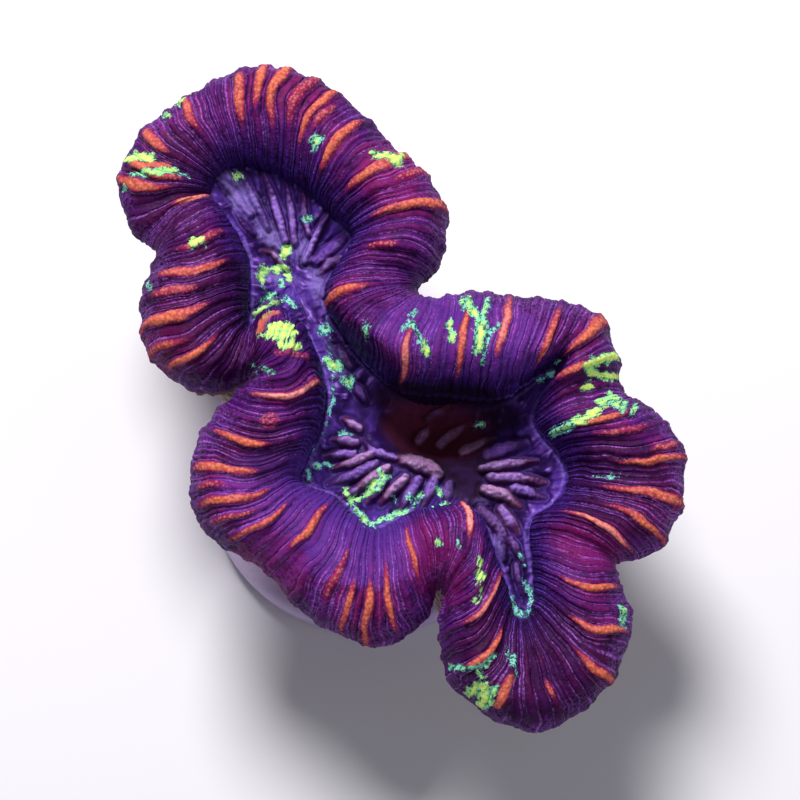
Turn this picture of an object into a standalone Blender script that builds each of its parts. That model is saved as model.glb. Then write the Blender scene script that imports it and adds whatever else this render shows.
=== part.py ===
# An open brain coral on its round disc, in metres with +Z up.
# The origin is the centre of the disc's flat underside, and +Y points away from the viewer.
# The coral grew as one piece: a fat ribbed wall round a branching valley, over a stony stalk.
import math

import bmesh
import bpy
import numpy as np
from mathutils import Vector
from mathutils.geometry import delaunay_2d_cdt

MM = 0.001

# The disc
DISC_DIAMETER = 50.8 * MM
DISC_HEIGHT = 6.0 * MM
DISC_ROUNDING = 1.4 * MM
GAP = 0.3 * MM

# The stations below were read by eye on a level plane at this height, from this spot, in millimetres.
READ_HEIGHT = 34.0
EYE = (4.6, -83.0, 381.6)

# The coral's wall
COLUMNS = 396
COLUMNS_PER_RIB = 4
RIB_HEIGHT = 0.5 * MM
FOOT_HEIGHT = 32.5 * MM
SKIRT_HEIGHT = 33.0 * MM
WALL_ANGLES = (180, 150, 120, 90, 60, 30, 0)
# How far each row under the wall lies from the crest towards the skirt, and its height
UNDER_ROWS = ((0.90, 29.3 * MM), (0.45, 26.0 * MM))

# The stony stalk: size beside the wall's underside, height, and rounds of smoothing
STALK_ROWS = ((0.64, 15.5 * MM, 60), (0.40, DISC_HEIGHT + GAP, 160))
STALK_CENTRE = (0.0, 0.0)

# The valley floor
FLOOR_SPACING = 2.9 * MM
FLOOR_MARGIN = 1.1 * MM
FLOOR_DROP = 2.2 * MM
PIT_CENTRE = (10.5 * MM, -1.0 * MM)
PIT_RADII = (11.0 * MM, 6.0 * MM)
PIT_DEPTH = 7.5 * MM

# Stations round the wall, anticlockwise from above, starting at the front lobe's end:
# foot in the valley, crest and skirt as read, then the crest's height.
STATIONS = (
    ((21.8, -27.8), (23.8, -38.0), (24.5, -44.2), 39.0),
    ((22.9, -26.5), (29.6, -34.2), (33.3, -38.2), 40.0),
    ((23.3, -23.6), (31.0, -29.3), (37.1, -29.5), 41.0),
    ((22.8, -20.0), (30.5, -22.9), (35.7, -22.7), 41.0),
    ((22.3, -16.4), (30.5, -17.0), (35.3, -20.4), 38.5),
    ((23.0, -13.5), (32.5, -14.3), (37.0, -20.2), 41.0),
    ((25.8, -11.7), (37.4, -13.0), (41.2, -19.0), 41.0),
    ((27.6, -9.3), (39.2, -10.0), (44.7, -13.0), 41.0),
    ((27.8, -6.5), (39.4, -6.6), (45.4, -6.8), 41.0),
    ((26.4, -4.0), (38.0, -2.6), (43.9, -1.6), 42.0),
    ((24.6, -1.9), (33.6, 1.2), (40.2, 2.6), 42.0),
    ((23.4, 0.4), (30.2, 4.6), (36.9, 4.6), 40.0),
    ((24.2, 3.2), (30.0, 8.2), (36.6, 9.0), 43.0),
    ((26.6, 6.6), (30.6, 11.3), (34.9, 13.6), 42.0),
    ((26.2, 7.8), (29.4, 12.6), (32.6, 16.4), 42.5),
    ((22.6, 5.2), (25.4, 12.2), (28.0, 18.1), 45.0),
    ((18.8, 3.5), (21.0, 11.6), (22.6, 18.7), 46.0),
    ((12.2, 3.9), (14.0, 12.0), (15.0, 19.4), 46.0),
    ((5.2, 4.3), (6.2, 12.2), (9.4, 18.6), 46.0),
    ((1.2, 6.8), (0.9, 13.4), (8.1, 19.1), 46.0),
    ((-2.8, 11.2), (-2.2, 16.0), (7.7, 19.6), 45.0),
    ((-6.0, 16.2), (-2.6, 19.8), (7.7, 20.1), 44.0),
    ((-6.6, 20.0), (-0.6, 23.4), (8.4, 20.8), 42.5),
    ((-3.8, 24.6), (3.6, 27.8), (10.7, 23.2), 43.0),
    ((-2.5, 27.3), (5.4, 31.4), (11.9, 28.2), 42.5),
    ((-3.5, 29.3), (3.8, 35.0), (10.7, 34.2), 42.5),
    ((-6.2, 31.5), (-1.0, 39.6), (5.0, 40.6), 42.0),
    ((-9.5, 35.1), (-8.2, 46.4), (-2.2, 48.1), 40.5),
    ((-13.1, 37.2), (-13.6, 50.4), (-9.6, 53.0), 40.0),
    ((-17.2, 38.4), (-19.2, 50.4), (-18.2, 53.6), 39.5),
    ((-20.5, 38.1), (-25.6, 46.8), (-26.4, 50.0), 39.0),
    ((-22.3, 36.3), (-30.8, 41.4), (-33.6, 44.0), 39.0),
    ((-22.8, 34.9), (-31.9, 35.6), (-36.8, 36.2), 38.0),
    ((-22.8, 34.5), (-31.4, 32.2), (-35.4, 29.6), 37.0),
    ((-22.6, 34.0), (-29.2, 31.8), (-32.0, 26.4), 37.0),
    ((-21.7, 32.9), (-27.3, 31.6), (-31.0, 25.4), 40.0),
    ((-20.0, 30.9), (-26.0, 29.8), (-30.9, 24.6), 42.0),
    ((-17.4, 26.0), (-25.2, 24.8), (-31.9, 21.8), 43.0),
    ((-16.8, 20.8), (-25.6, 18.8), (-33.2, 16.2), 43.0),
    ((-16.8, 17.6), (-26.2, 14.0), (-32.5, 11.0), 42.5),
    ((-17.0, 15.9), (-23.8, 10.0), (-28.8, 6.8), 41.5),
    ((-17.1, 15.0), (-20.6, 9.2), (-24.0, 4.6), 40.0),
    ((-16.7, 15.0), (-18.0, 9.8), (-19.6, 5.6), 38.5),
    ((-15.2, 16.8), (-15.6, 12.2), (-17.8, 6.5), 42.5),
    ((-12.8, 17.4), (-13.0, 12.4), (-17.2, 6.3), 44.5),
    ((-9.2, 14.4), (-11.2, 9.6), (-17.1, 5.7), 45.0),
    ((-6.8, 9.4), (-10.8, 6.2), (-17.8, 5.0), 45.0),
    ((-5.5, 4.2), (-12.0, 2.4), (-19.8, 3.7), 44.0),
    ((-6.3, -0.8), (-14.6, -1.6), (-23.0, 0.4), 43.5),
    ((-8.1, -4.8), (-16.8, -6.2), (-25.4, -5.2), 43.0),
    ((-9.3, -7.8), (-17.6, -10.2), (-25.2, -11.4), 43.0),
    ((-8.2, -9.2), (-15.4, -13.4), (-22.4, -17.0), 42.5),
    ((-4.6, -10.3), (-9.2, -16.2), (-14.8, -21.4), 41.5),
    ((-1.8, -12.9), (-4.6, -20.6), (-8.6, -28.2), 41.5),
    ((1.2, -15.0), (1.0, -24.0), (1.6, -32.2), 41.5),
    ((4.0, -13.8), (5.6, -20.8), (8.0, -28.8), 41.0),
    ((6.4, -12.7), (8.2, -17.4), (9.4, -25.2), 40.5),
    ((9.8, -12.2), (11.6, -16.6), (10.0, -24.4), 42.5),
    ((14.0, -11.8), (15.0, -18.2), (10.4, -24.9), 43.0),
    ((17.1, -15.2), (15.8, -22.2), (10.3, -26.4), 43.0),
    ((19.5, -22.2), (15.9, -29.0), (9.8, -31.6), 42.0),
    ((20.5, -26.8), (17.8, -35.4), (12.5, -38.9), 41.0),
)


def clear_scene():
    for thing in list(bpy.data.objects):
        bpy.data.objects.remove(thing)


def make_material(name, colour, roughness):
    material = bpy.data.materials.new(name)
    material.use_nodes = True
    shader = material.node_tree.nodes["Principled BSDF"]
    shader.inputs["Base Color"].default_value = (*colour, 1.0)
    shader.inputs["Roughness"].default_value = roughness
    shader.inputs["Metallic"].default_value = 0.0
    return material


def make_object(name, mesh, material):
    mesh.materials.append(material)
    thing = bpy.data.objects.new(name, mesh)
    bpy.context.collection.objects.link(thing)
    return thing


def along_sight_line(points, height):
    """Move points read on the reading plane along the line of sight to their own height, in metres."""
    height = np.broadcast_to(height, points.shape[:1]) / MM
    share = (height - READ_HEIGHT) / (EYE[2] - READ_HEIGHT)
    plan = points + (np.array(EYE[:2]) - points) * share[:, None]
    return np.column_stack([plan, height]) * MM


def smooth_loop(keys, samples):
    """Closed Catmull-Rom curve through the keys, with an even number of samples between each two."""
    before = np.roll(keys, 1, 0)
    after = np.roll(keys, -1, 0)
    beyond = np.roll(keys, -2, 0)
    t = (np.arange(samples) / samples)[None, :, None]
    curve = 0.5 * (2 * keys[:, None]
                   + (after - before)[:, None] * t
                   + (2 * before - 5 * keys + 4 * after - beyond)[:, None] * t ** 2
                   + (3 * keys - before - 3 * after + beyond)[:, None] * t ** 3)
    return curve.reshape(-1, keys.shape[1])


def wall_columns():
    """Foot, crest and skirt of every column, spaced evenly round the wall."""
    keys = np.array([(*foot, *crest, *skirt, height) for foot, crest, skirt, height in STATIONS])
    fine = smooth_loop(keys, 24)
    step = np.roll(fine, -1, 0) - fine
    length = sum(np.linalg.norm(step[:, i:i + 2], axis=1) * share for i, share in ((0, 0.3), (2, 0.4), (4, 0.3)))
    reached = np.concatenate([[0.0], np.cumsum(length)])
    wanted = np.arange(COLUMNS) / COLUMNS * reached[-1]
    closed = np.vstack([fine, fine[:1]])
    even = np.column_stack([np.interp(wanted, reached, closed[:, i]) for i in range(7)])
    foot = along_sight_line(even[:, 0:2], FOOT_HEIGHT)
    crest = along_sight_line(even[:, 2:4], even[:, 6] * MM)
    skirt = along_sight_line(even[:, 4:6], SKIRT_HEIGHT)
    return foot, crest, skirt


def point_across(foot, crest, skirt, share):
    """Plan position across the wall: -1 is the foot, 0 the crest and 1 the skirt."""
    end = foot if share < 0 else skirt
    return crest[:, :2] + (end[:, :2] - crest[:, :2]) * abs(share)


def coral_rows():
    """Rings of points from the valley's edge over the wall and down the stalk."""
    foot, crest, skirt = wall_columns()
    rib = np.cos(np.arange(COLUMNS) * 2 * math.pi / COLUMNS_PER_RIB)
    rows = []
    for angle in WALL_ANGLES:
        turn = math.radians(angle)
        plan = point_across(foot, crest, skirt, math.cos(turn))
        low = foot[:, 2] if angle > 90 else skirt[:, 2]
        height = low + (crest[:, 2] - low) * math.sin(turn)
        spacing = np.linalg.norm(np.roll(plan, -1, 0) - np.roll(plan, 1, 0), axis=1) / 2
        lift = rib * RIB_HEIGHT * np.clip(spacing / (0.8 * MM), 0.0, 1.0)
        across = skirt[:, :2] - crest[:, :2] if angle < 90 else crest[:, :2] - foot[:, :2]
        across /= np.linalg.norm(across, axis=1)[:, None]
        if 0 < angle < 180:
            height = height + lift * math.sin(turn)
        if angle < 180:
            plan = plan + across * (lift * max(math.cos(turn), 0.0))[:, None]
        rows.append(np.column_stack([plan, height]))
    for share, height in UNDER_ROWS:
        plan = point_across(foot, crest, skirt, share)
        rows.append(np.column_stack([plan, np.full(COLUMNS, height)]))
    ring = rows[-1][:, :2]
    centre = np.array(STALK_CENTRE)
    for size, height, rounds in STALK_ROWS:
        for _ in range(rounds):
            ring = (np.roll(ring, 1, 0) + 2 * ring + np.roll(ring, -1, 0)) / 4
        plan = centre + (ring - centre) * size
        rows.append(np.column_stack([plan, np.full(COLUMNS, height)]))
    return rows


def floor_height(x, y):
    reach = math.hypot((x - PIT_CENTRE[0]) / PIT_RADII[0], (y - PIT_CENTRE[1]) / PIT_RADII[1])
    pit = max(0.0, 1.0 - reach * reach)
    return FOOT_HEIGHT - FLOOR_DROP - PIT_DEPTH * pit


def inside(ring, x, y):
    hit = False
    for (x0, y0), (x1, y1) in zip(ring, np.roll(ring, -1, 0)):
        if (y0 > y) != (y1 > y) and x < x0 + (x1 - x0) * (y - y0) / (y1 - y0):
            hit = not hit
    return hit


def floor_points(ring):
    """Points on a triangular grid inside the valley, kept clear of its edge."""
    low = ring.min(0)
    high = ring.max(0)
    points = []
    for j, y in enumerate(np.arange(low[1], high[1], FLOOR_SPACING * math.sqrt(0.75))):
        for x in np.arange(low[0] + FLOOR_SPACING / 2 * (j % 2), high[0], FLOOR_SPACING):
            clear = np.linalg.norm(ring - (x, y), axis=1).min() > FLOOR_MARGIN
            if clear and inside(ring, x, y):
                points.append((x, y))
    return points


def add_floor(bm, edge_verts):
    ring = np.array([vert.co[:2] for vert in edge_verts])
    extra = floor_points(ring)
    count = len(ring)
    edges = [(i, (i + 1) % count) for i in range(count)]
    flat = [Vector(point) for point in ring] + [Vector(point) for point in extra]
    places, _, faces, origins, _, _ = delaunay_2d_cdt(flat, edges, [], 1, 1e-7)
    verts = []
    for place, origin in zip(places, origins):
        first = origin[0]
        if first < count:
            verts.append(edge_verts[first])
        else:
            verts.append(bm.verts.new((place[0], place[1], floor_height(place[0], place[1]))))
    for face in faces:
        bm.faces.new([verts[i] for i in face])


def make_coral():
    bm = bmesh.new()
    rings = [[bm.verts.new(point) for point in row] for row in coral_rows()]
    for upper, lower in zip(rings, rings[1:]):
        for i in range(COLUMNS):
            j = (i + 1) % COLUMNS
            bm.faces.new((upper[i], upper[j], lower[j], lower[i]))
    bm.faces.new(rings[-1])
    add_floor(bm, rings[0])
    bmesh.ops.triangulate(bm, faces=bm.faces)
    bmesh.ops.recalc_face_normals(bm, faces=bm.faces)
    mesh = bpy.data.meshes.new("coral")
    bm.to_mesh(mesh)
    bm.free()
    return make_object("coral", mesh, make_material("purple_coral", (0.10, 0.02, 0.20), 0.5))


def make_disc():
    bpy.ops.mesh.primitive_cylinder_add(vertices=64, radius=DISC_DIAMETER / 2, depth=DISC_HEIGHT,
                                        location=(0, 0, DISC_HEIGHT / 2))
    disc = bpy.context.object
    disc.name = "frag_disc"
    disc.data.name = "frag_disc"
    disc.data.materials.append(make_material("pale_ceramic", (0.72, 0.66, 0.80), 0.6))
    rounding = disc.modifiers.new("rim", "BEVEL")
    rounding.width = DISC_ROUNDING
    rounding.segments = 3
    rounding.limit_method = "ANGLE"
    rounding.angle_limit = math.radians(40)
    return disc


clear_scene()
make_disc()
make_coral()
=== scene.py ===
import math

import bpy
import numpy as np
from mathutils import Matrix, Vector, noise


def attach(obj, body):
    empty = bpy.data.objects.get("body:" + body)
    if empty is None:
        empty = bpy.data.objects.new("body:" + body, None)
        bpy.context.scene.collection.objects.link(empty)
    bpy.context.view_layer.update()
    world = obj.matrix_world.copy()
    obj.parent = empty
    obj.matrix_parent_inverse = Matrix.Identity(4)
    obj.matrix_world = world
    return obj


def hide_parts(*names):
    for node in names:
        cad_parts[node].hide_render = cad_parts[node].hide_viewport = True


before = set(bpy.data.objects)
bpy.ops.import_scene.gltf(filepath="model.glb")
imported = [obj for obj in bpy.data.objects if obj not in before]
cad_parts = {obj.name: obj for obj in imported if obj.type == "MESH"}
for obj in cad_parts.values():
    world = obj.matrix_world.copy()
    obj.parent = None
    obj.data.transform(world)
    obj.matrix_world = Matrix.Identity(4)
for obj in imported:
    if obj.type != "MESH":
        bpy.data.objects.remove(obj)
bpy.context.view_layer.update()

mm = 0.001
rng = np.random.default_rng(11)

# Camera, lights and floor

view = {
    "target": (4.6, 1.6, 42.0),     # mm, the point in the middle of the picture
    "distance": 350.0,              # mm
    "elevation": 76.0,              # degrees above the horizon
    "lens": 112.5,                  # mm on a 36 mm sensor
}
studio = {
    "keyPower": 6.4, "keySize": 0.26, "keyPlace": (-0.10, 0.36, 0.56),
    "fillPower": 0.9, "fillSize": 0.5, "fillPlace": (0.5, -0.3, 0.35),
    "skyColour": (0.82, 0.82, 0.90), "skyStrength": 0.20,
    "floorColour": (0.74, 0.73, 0.76),
}
cameraTilt = math.radians(view["elevation"])
sightLine = np.array([0.0, -math.cos(cameraTilt), math.sin(cameraTilt)])    # from the coral to the camera


def deselectAll():
    for thing in list(bpy.context.selected_objects):
        thing.select_set(False)


def placeLight(name, place, size, power, colour):
    deselectAll()
    bpy.ops.object.light_add(type="AREA", location=place)
    lamp = bpy.context.object
    lamp.name = name
    lamp.data.shape = "DISK"
    lamp.data.size = size
    lamp.data.energy = power
    lamp.data.color = colour
    lamp.rotation_euler = (Vector((0, 0, 0.03)) - Vector(place)).to_track_quat("-Z", "Y").to_euler()


def placeCamera():
    target = Vector(view["target"]) * mm
    spot = target + Vector(sightLine) * view["distance"] * mm
    deselectAll()
    bpy.ops.object.camera_add(location=spot)
    camera = bpy.context.object
    camera.name = "photoCamera"
    camera.rotation_euler = (target - spot).to_track_quat("-Z", "Y").to_euler()
    camera.data.sensor_width = 36
    camera.data.lens = view["lens"]
    camera.data.clip_start = 0.01
    camera.data.clip_end = 20
    bpy.context.scene.camera = camera
    return spot


def placeFloor():
    deselectAll()
    bpy.ops.mesh.primitive_plane_add(size=6, location=(0, 0, 0))
    floor = bpy.context.object
    floor.name = "studioFloor"
    bpy.ops.object.transform_apply(location=True, rotation=True, scale=True)
    paper = bpy.data.materials.new("studioPaper")
    paper.use_nodes = True
    shader = paper.node_tree.nodes["Principled BSDF"]
    shader.inputs["Base Color"].default_value = (*studio["floorColour"], 1)
    shader.inputs["Roughness"].default_value = 0.85
    floor.data.materials.append(paper)


def lightSky():
    world = bpy.data.worlds.new("softSky")
    world.use_nodes = True
    sky = world.node_tree.nodes["Background"]
    sky.inputs["Color"].default_value = (*studio["skyColour"], 1)
    sky.inputs["Strength"].default_value = studio["skyStrength"]
    bpy.context.scene.world = world


eye = np.array(placeCamera()) / mm
placeFloor()
lightSky()
placeLight("keyLight", studio["keyPlace"], studio["keySize"], studio["keyPower"], (1.0, 0.98, 1.0))
placeLight("fillLight", studio["fillPlace"], studio["fillSize"], studio["fillPower"], (0.90, 0.93, 1.0))
bpy.context.scene.view_settings.view_transform = "Standard"
print("camera, lights and floor are in place")

# Wiring for materials


class Wire:                                     # a socket that Python maths can be written with
    def __init__(self, paint, socket):
        self.paint = paint
        self.socket = socket

    def maths(self, operation, first, second):
        return self.paint.node("ShaderNodeMath", {"operation": operation}, {0: first, 1: second})

    def __add__(self, other):
        return self.maths("ADD", self, other)

    def __radd__(self, other):
        return self.maths("ADD", other, self)

    def __sub__(self, other):
        return self.maths("SUBTRACT", self, other)

    def __rsub__(self, other):
        return self.maths("SUBTRACT", other, self)

    def __mul__(self, other):
        return self.maths("MULTIPLY", self, other)

    def __rmul__(self, other):
        return self.maths("MULTIPLY", other, self)

    def __mod__(self, other):
        return self.maths("FLOORED_MODULO", self, other)


class Paint:                                    # one material and the nodes that it is made of
    def __init__(self, name):
        self.material = bpy.data.materials.new(name)
        self.material.use_nodes = True
        self.tree = self.material.node_tree
        self.shader = self.tree.nodes["Principled BSDF"]

    def plug(self, socket, value):
        if isinstance(value, Wire):
            self.tree.links.new(value.socket, socket)
        elif isinstance(value, tuple) and len(value) == 3 and socket.type == "RGBA":
            socket.default_value = (*value, 1.0)
        else:
            socket.default_value = value

    def node(self, kind, settings=None, inputs=None, output=0):
        made = self.tree.nodes.new(kind)
        for key, value in (settings or {}).items():
            setattr(made, key, value)
        for key, value in (inputs or {}).items():
            self.plug(made.inputs[key], value)
        return Wire(self, made.outputs[output])

    def attributes(self, *names):
        return [self.node("ShaderNodeAttribute", {"attribute_name": name}, output="Fac") for name in names]

    def ramp(self, value, low, high, bottom=0.0, top=1.0):      # smooth step from bottom to top
        return self.node("ShaderNodeMapRange", {"interpolation_type": "SMOOTHSTEP"},
                         {"Value": value, "From Min": low, "From Max": high,
                          "To Min": bottom, "To Max": top})

    def mix(self, factor, colourA, colourB):
        return self.node("ShaderNodeMix", {"data_type": "RGBA"}, {0: factor, 6: colourA, 7: colourB}, 2)

    def coats(self, body, *layers):                             # each layer is a share and a colour
        for share, colour in layers:
            body = self.mix(share, body, colour)
        return body

    def larger(self, first, second):
        return self.node("ShaderNodeMath", {"operation": "MAXIMUM"}, {0: first, 1: second})

    def size(self, value):
        return self.node("ShaderNodeMath", {"operation": "ABSOLUTE"}, {0: value})

    def axis(self, place, number):
        return self.node("ShaderNodeSeparateXYZ", None, {0: place}, number)

    def speckle(self, place, scale, detail=2.0, roughness=0.5):
        return self.node("ShaderNodeTexNoise", None,
                         {"Vector": place, "Scale": scale, "Detail": detail, "Roughness": roughness})

    def grains(self, *kinds):                                   # the object's own place and its noises
        place = self.node("ShaderNodeTexCoord", output="Object")
        return place, *[self.speckle(place, *kind) for kind in kinds]

    def cells(self, place, scale, randomness=1.0, feature="F1"):
        return self.node("ShaderNodeTexVoronoi", {"feature": feature},
                         {"Vector": place, "Scale": scale, "Randomness": randomness}, "Distance")

    def bump(self, height, strength, distance):
        return self.node("ShaderNodeBump", None,
                         {"Strength": strength, "Distance": distance, "Height": height})

    def finish(self, **sockets):
        for name, value in sockets.items():
            self.plug(self.shader.inputs[name.replace("_", " ")], value)
        return self.material


def tone(red, green, blue):                     # a colour picked in 0 to 255, made linear
    return tuple(((c / 255) / 12.92 if c <= 10 else ((c / 255 + 0.055) / 1.055) ** 2.4)
                 for c in (red, green, blue))


# The lie of the wall

# Stations round the wall, anticlockwise from above, read on a level plane from the camera's place,
# in mm: the foot in the valley, the crest, the skirt, then the crest's height.
readHeight = 34.0
stations = (
    ((21.8, -27.8), (23.8, -38.0), (24.5, -44.2), 39.0),
    ((22.9, -26.5), (29.6, -34.2), (33.3, -38.2), 40.0),
    ((23.3, -23.6), (31.0, -29.3), (37.1, -29.5), 41.0),
    ((22.8, -20.0), (30.5, -22.9), (35.7, -22.7), 41.0),
    ((22.3, -16.4), (30.5, -17.0), (35.3, -20.4), 38.5),
    ((23.0, -13.5), (32.5, -14.3), (37.0, -20.2), 41.0),
    ((25.8, -11.7), (37.4, -13.0), (41.2, -19.0), 41.0),
    ((27.6, -9.3), (39.2, -10.0), (44.7, -13.0), 41.0),
    ((27.8, -6.5), (39.4, -6.6), (45.4, -6.8), 41.0),
    ((26.4, -4.0), (38.0, -2.6), (43.9, -1.6), 42.0),
    ((24.6, -1.9), (33.6, 1.2), (40.2, 2.6), 42.0),
    ((23.4, 0.4), (30.2, 4.6), (36.9, 4.6), 40.0),
    ((24.2, 3.2), (30.0, 8.2), (36.6, 9.0), 43.0),
    ((26.6, 6.6), (30.6, 11.3), (34.9, 13.6), 42.0),
    ((26.2, 7.8), (29.4, 12.6), (32.6, 16.4), 42.5),
    ((22.6, 5.2), (25.4, 12.2), (28.0, 18.1), 45.0),
    ((18.8, 3.5), (21.0, 11.6), (22.6, 18.7), 46.0),
    ((12.2, 3.9), (14.0, 12.0), (15.0, 19.4), 46.0),
    ((5.2, 4.3), (6.2, 12.2), (9.4, 18.6), 46.0),
    ((1.2, 6.8), (0.9, 13.4), (8.1, 19.1), 46.0),
    ((-2.8, 11.2), (-2.2, 16.0), (7.7, 19.6), 45.0),
    ((-6.0, 16.2), (-2.6, 19.8), (7.7, 20.1), 44.0),
    ((-6.6, 20.0), (-0.6, 23.4), (8.4, 20.8), 42.5),
    ((-3.8, 24.6), (3.6, 27.8), (10.7, 23.2), 43.0),
    ((-2.5, 27.3), (5.4, 31.4), (11.9, 28.2), 42.5),
    ((-3.5, 29.3), (3.8, 35.0), (10.7, 34.2), 42.5),
    ((-6.2, 31.5), (-1.0, 39.6), (5.0, 40.6), 42.0),
    ((-9.5, 35.1), (-8.2, 46.4), (-2.2, 48.1), 40.5),
    ((-13.1, 37.2), (-13.6, 50.4), (-9.6, 53.0), 40.0),
    ((-17.2, 38.4), (-19.2, 50.4), (-18.2, 53.6), 39.5),
    ((-20.5, 38.1), (-25.6, 46.8), (-26.4, 50.0), 39.0),
    ((-22.3, 36.3), (-30.8, 41.4), (-33.6, 44.0), 39.0),
    ((-22.8, 34.9), (-31.9, 35.6), (-36.8, 36.2), 38.0),
    ((-22.8, 34.5), (-31.4, 32.2), (-35.4, 29.6), 37.0),
    ((-22.6, 34.0), (-29.2, 31.8), (-32.0, 26.4), 37.0),
    ((-21.7, 32.9), (-27.3, 31.6), (-31.0, 25.4), 40.0),
    ((-20.0, 30.9), (-26.0, 29.8), (-30.9, 24.6), 42.0),
    ((-17.4, 26.0), (-25.2, 24.8), (-31.9, 21.8), 43.0),
    ((-16.8, 20.8), (-25.6, 18.8), (-33.2, 16.2), 43.0),
    ((-16.8, 17.6), (-26.2, 14.0), (-32.5, 11.0), 42.5),
    ((-17.0, 15.9), (-23.8, 10.0), (-28.8, 6.8), 41.5),
    ((-17.1, 15.0), (-20.6, 9.2), (-24.0, 4.6), 40.0),
    ((-16.7, 15.0), (-18.0, 9.8), (-19.6, 5.6), 38.5),
    ((-15.2, 16.8), (-15.6, 12.2), (-17.8, 6.5), 42.5),
    ((-12.8, 17.4), (-13.0, 12.4), (-17.2, 6.3), 44.5),
    ((-9.2, 14.4), (-11.2, 9.6), (-17.1, 5.7), 45.0),
    ((-6.8, 9.4), (-10.8, 6.2), (-17.8, 5.0), 45.0),
    ((-5.5, 4.2), (-12.0, 2.4), (-19.8, 3.7), 44.0),
    ((-6.3, -0.8), (-14.6, -1.6), (-23.0, 0.4), 43.5),
    ((-8.1, -4.8), (-16.8, -6.2), (-25.4, -5.2), 43.0),
    ((-9.3, -7.8), (-17.6, -10.2), (-25.2, -11.4), 43.0),
    ((-8.2, -9.2), (-15.4, -13.4), (-22.4, -17.0), 42.5),
    ((-4.6, -10.3), (-9.2, -16.2), (-14.8, -21.4), 41.5),
    ((-1.8, -12.9), (-4.6, -20.6), (-8.6, -28.2), 41.5),
    ((1.2, -15.0), (1.0, -24.0), (1.6, -32.2), 41.5),
    ((4.0, -13.8), (5.6, -20.8), (8.0, -28.8), 41.0),
    ((6.4, -12.7), (8.2, -17.4), (9.4, -25.2), 40.5),
    ((9.8, -12.2), (11.6, -16.6), (10.0, -24.4), 42.5),
    ((14.0, -11.8), (15.0, -18.2), (10.4, -24.9), 43.0),
    ((17.1, -15.2), (15.8, -22.2), (10.3, -26.4), 43.0),
    ((19.5, -22.2), (15.9, -29.0), (9.8, -31.6), 42.0),
    ((20.5, -26.8), (17.8, -35.4), (12.5, -38.9), 41.0),
)
wall = {
    "pieces": 4, "columns": 3200, "rows": 108, "cutReach": 60,      # a cut is looked for in so many columns
    "shares": (0.3, 0.4, 0.3),      # how much foot, crest and skirt count where the columns are spaced
    "stepsBetween": 60, "pathReach": 8.0, "sharedRib": 1.5,
    "footHeight": 32.5, "skirtHeight": 33.0,
    "overhangSpot": (12.0, 4.0), "overhangReach": 10.0, "overhangLift": 4.0,
    "underFoot": ((1.0, 1.0), (0.85, 0.7), (0.55, 0.35), (0.2, 0.12)),      # how far in, how far down
    # the skirt's rolled edge: share of crest to skirt, height, mark
    "lowerLip": ((0.985, 31.2, 1.08), (0.94, 29.9, 1.16), (0.84, 29.0, 1.24), (0.58, 28.9, 1.34)),
    "ribSpacing": 3.2, "ribHalf": (0.50, 0.85), "stripeHalf": (0.70, 0.90), "foldWidth": 0.92,
    "upperLobe": (5.0, 16.0), "edgeWaveSize": 5.0, "edgeWaveHeight": 0.7,
    "beadSize": 0.62, "lumpHeight": 0.30, "lumpSize": 7.0,
    "haloReach": 11, "puffReach": 7, "puffHeight": 0.8, "smoothing": 14,
    "turnedAway": (0.12, 0.38),     # where the wall turns from the camera, no crust shows
}
valley = {
    "drop": 2.2, "ridgeHeight": 0.55, "ridgeReach": (3.4, 11.0), "trench": 0.35,
    "pitSpot": (9.5, 0.6), "pitRadii": (12.5, 6.4), "pitTurn": -10.0, "pitDepth": 7.5,
    "spacing": 0.17, "tuck": 1.6, "paddleGirth": 1.6,
    # ridges stay 1.2 to 2.6 mm wide: how many ridges for a fold, and from and to how wide a fold
    "bands": ((0.125, 0.15, 0.3), (0.25, 0.3, 0.6), (0.5, 0.6, 1.3), (1, 1.3, 2.6), (2, 2.6, 5.2)),
}


def alongSight(points, height):                 # from the reading plane to its own height
    share = (np.asarray(height) - readHeight) / (eye[2] - readHeight)
    flat = points + (eye[:2] - points) * share[..., None]
    return np.concatenate([flat, np.broadcast_to(height, flat.shape[:-1])[..., None]], -1)


def asSeen(points):                             # from its own height to the reading plane
    share = (points[..., 2:] - readHeight) / (eye[2] - readHeight)
    return (points[..., :2] - eye[:2] * share) / (1 - share)


def loopThrough(keys, samples):                 # closed smooth curve through the keys
    before, after, beyond = np.roll(keys, 1, 0), np.roll(keys, -1, 0), np.roll(keys, -2, 0)
    t = (np.arange(samples) / samples)[None, :, None]
    curve = 0.5 * (2 * keys[:, None] + (after - before)[:, None] * t
                   + (2 * before - 5 * keys + 4 * after - beyond)[:, None] * t ** 2
                   + (3 * keys - before - 3 * after + beyond)[:, None] * t ** 3)
    return curve.reshape(-1, keys.shape[1])


def softLoop(values, reach):                    # smooths closed rows of numbers, reach in columns
    count = values.shape[0]
    waves = np.fft.fftfreq(count) * 2 * math.pi
    keep = np.exp(-0.5 * (waves * reach) ** 2).reshape(-1, *[1] * (values.ndim - 1))
    return np.fft.ifft(np.fft.fft(values, axis=0) * keep, axis=0).real


def step(x, low, high):
    t = np.clip((x - low) / (high - low), 0, 1)
    return t * t * (3 - 2 * t)


def lumps(points, size, seed):                  # smooth noise at each point, about -1 to 1
    flat = points.reshape(-1, 3) / size + seed
    return np.array([noise.noise(Vector(p)) for p in flat]).reshape(points.shape[:-1]) * 1.6


def pitShare(x, y):                             # 0 outside the pit, 1 at its bottom
    turn = math.radians(valley["pitTurn"])
    dx, dy = x - valley["pitSpot"][0], y - valley["pitSpot"][1]
    along = (dx * math.cos(turn) + dy * math.sin(turn)) / valley["pitRadii"][0]
    aside = (dy * math.cos(turn) - dx * math.sin(turn)) / valley["pitRadii"][1]
    return step(1.0 - np.hypot(along, aside), 0.0, 0.85)


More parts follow.
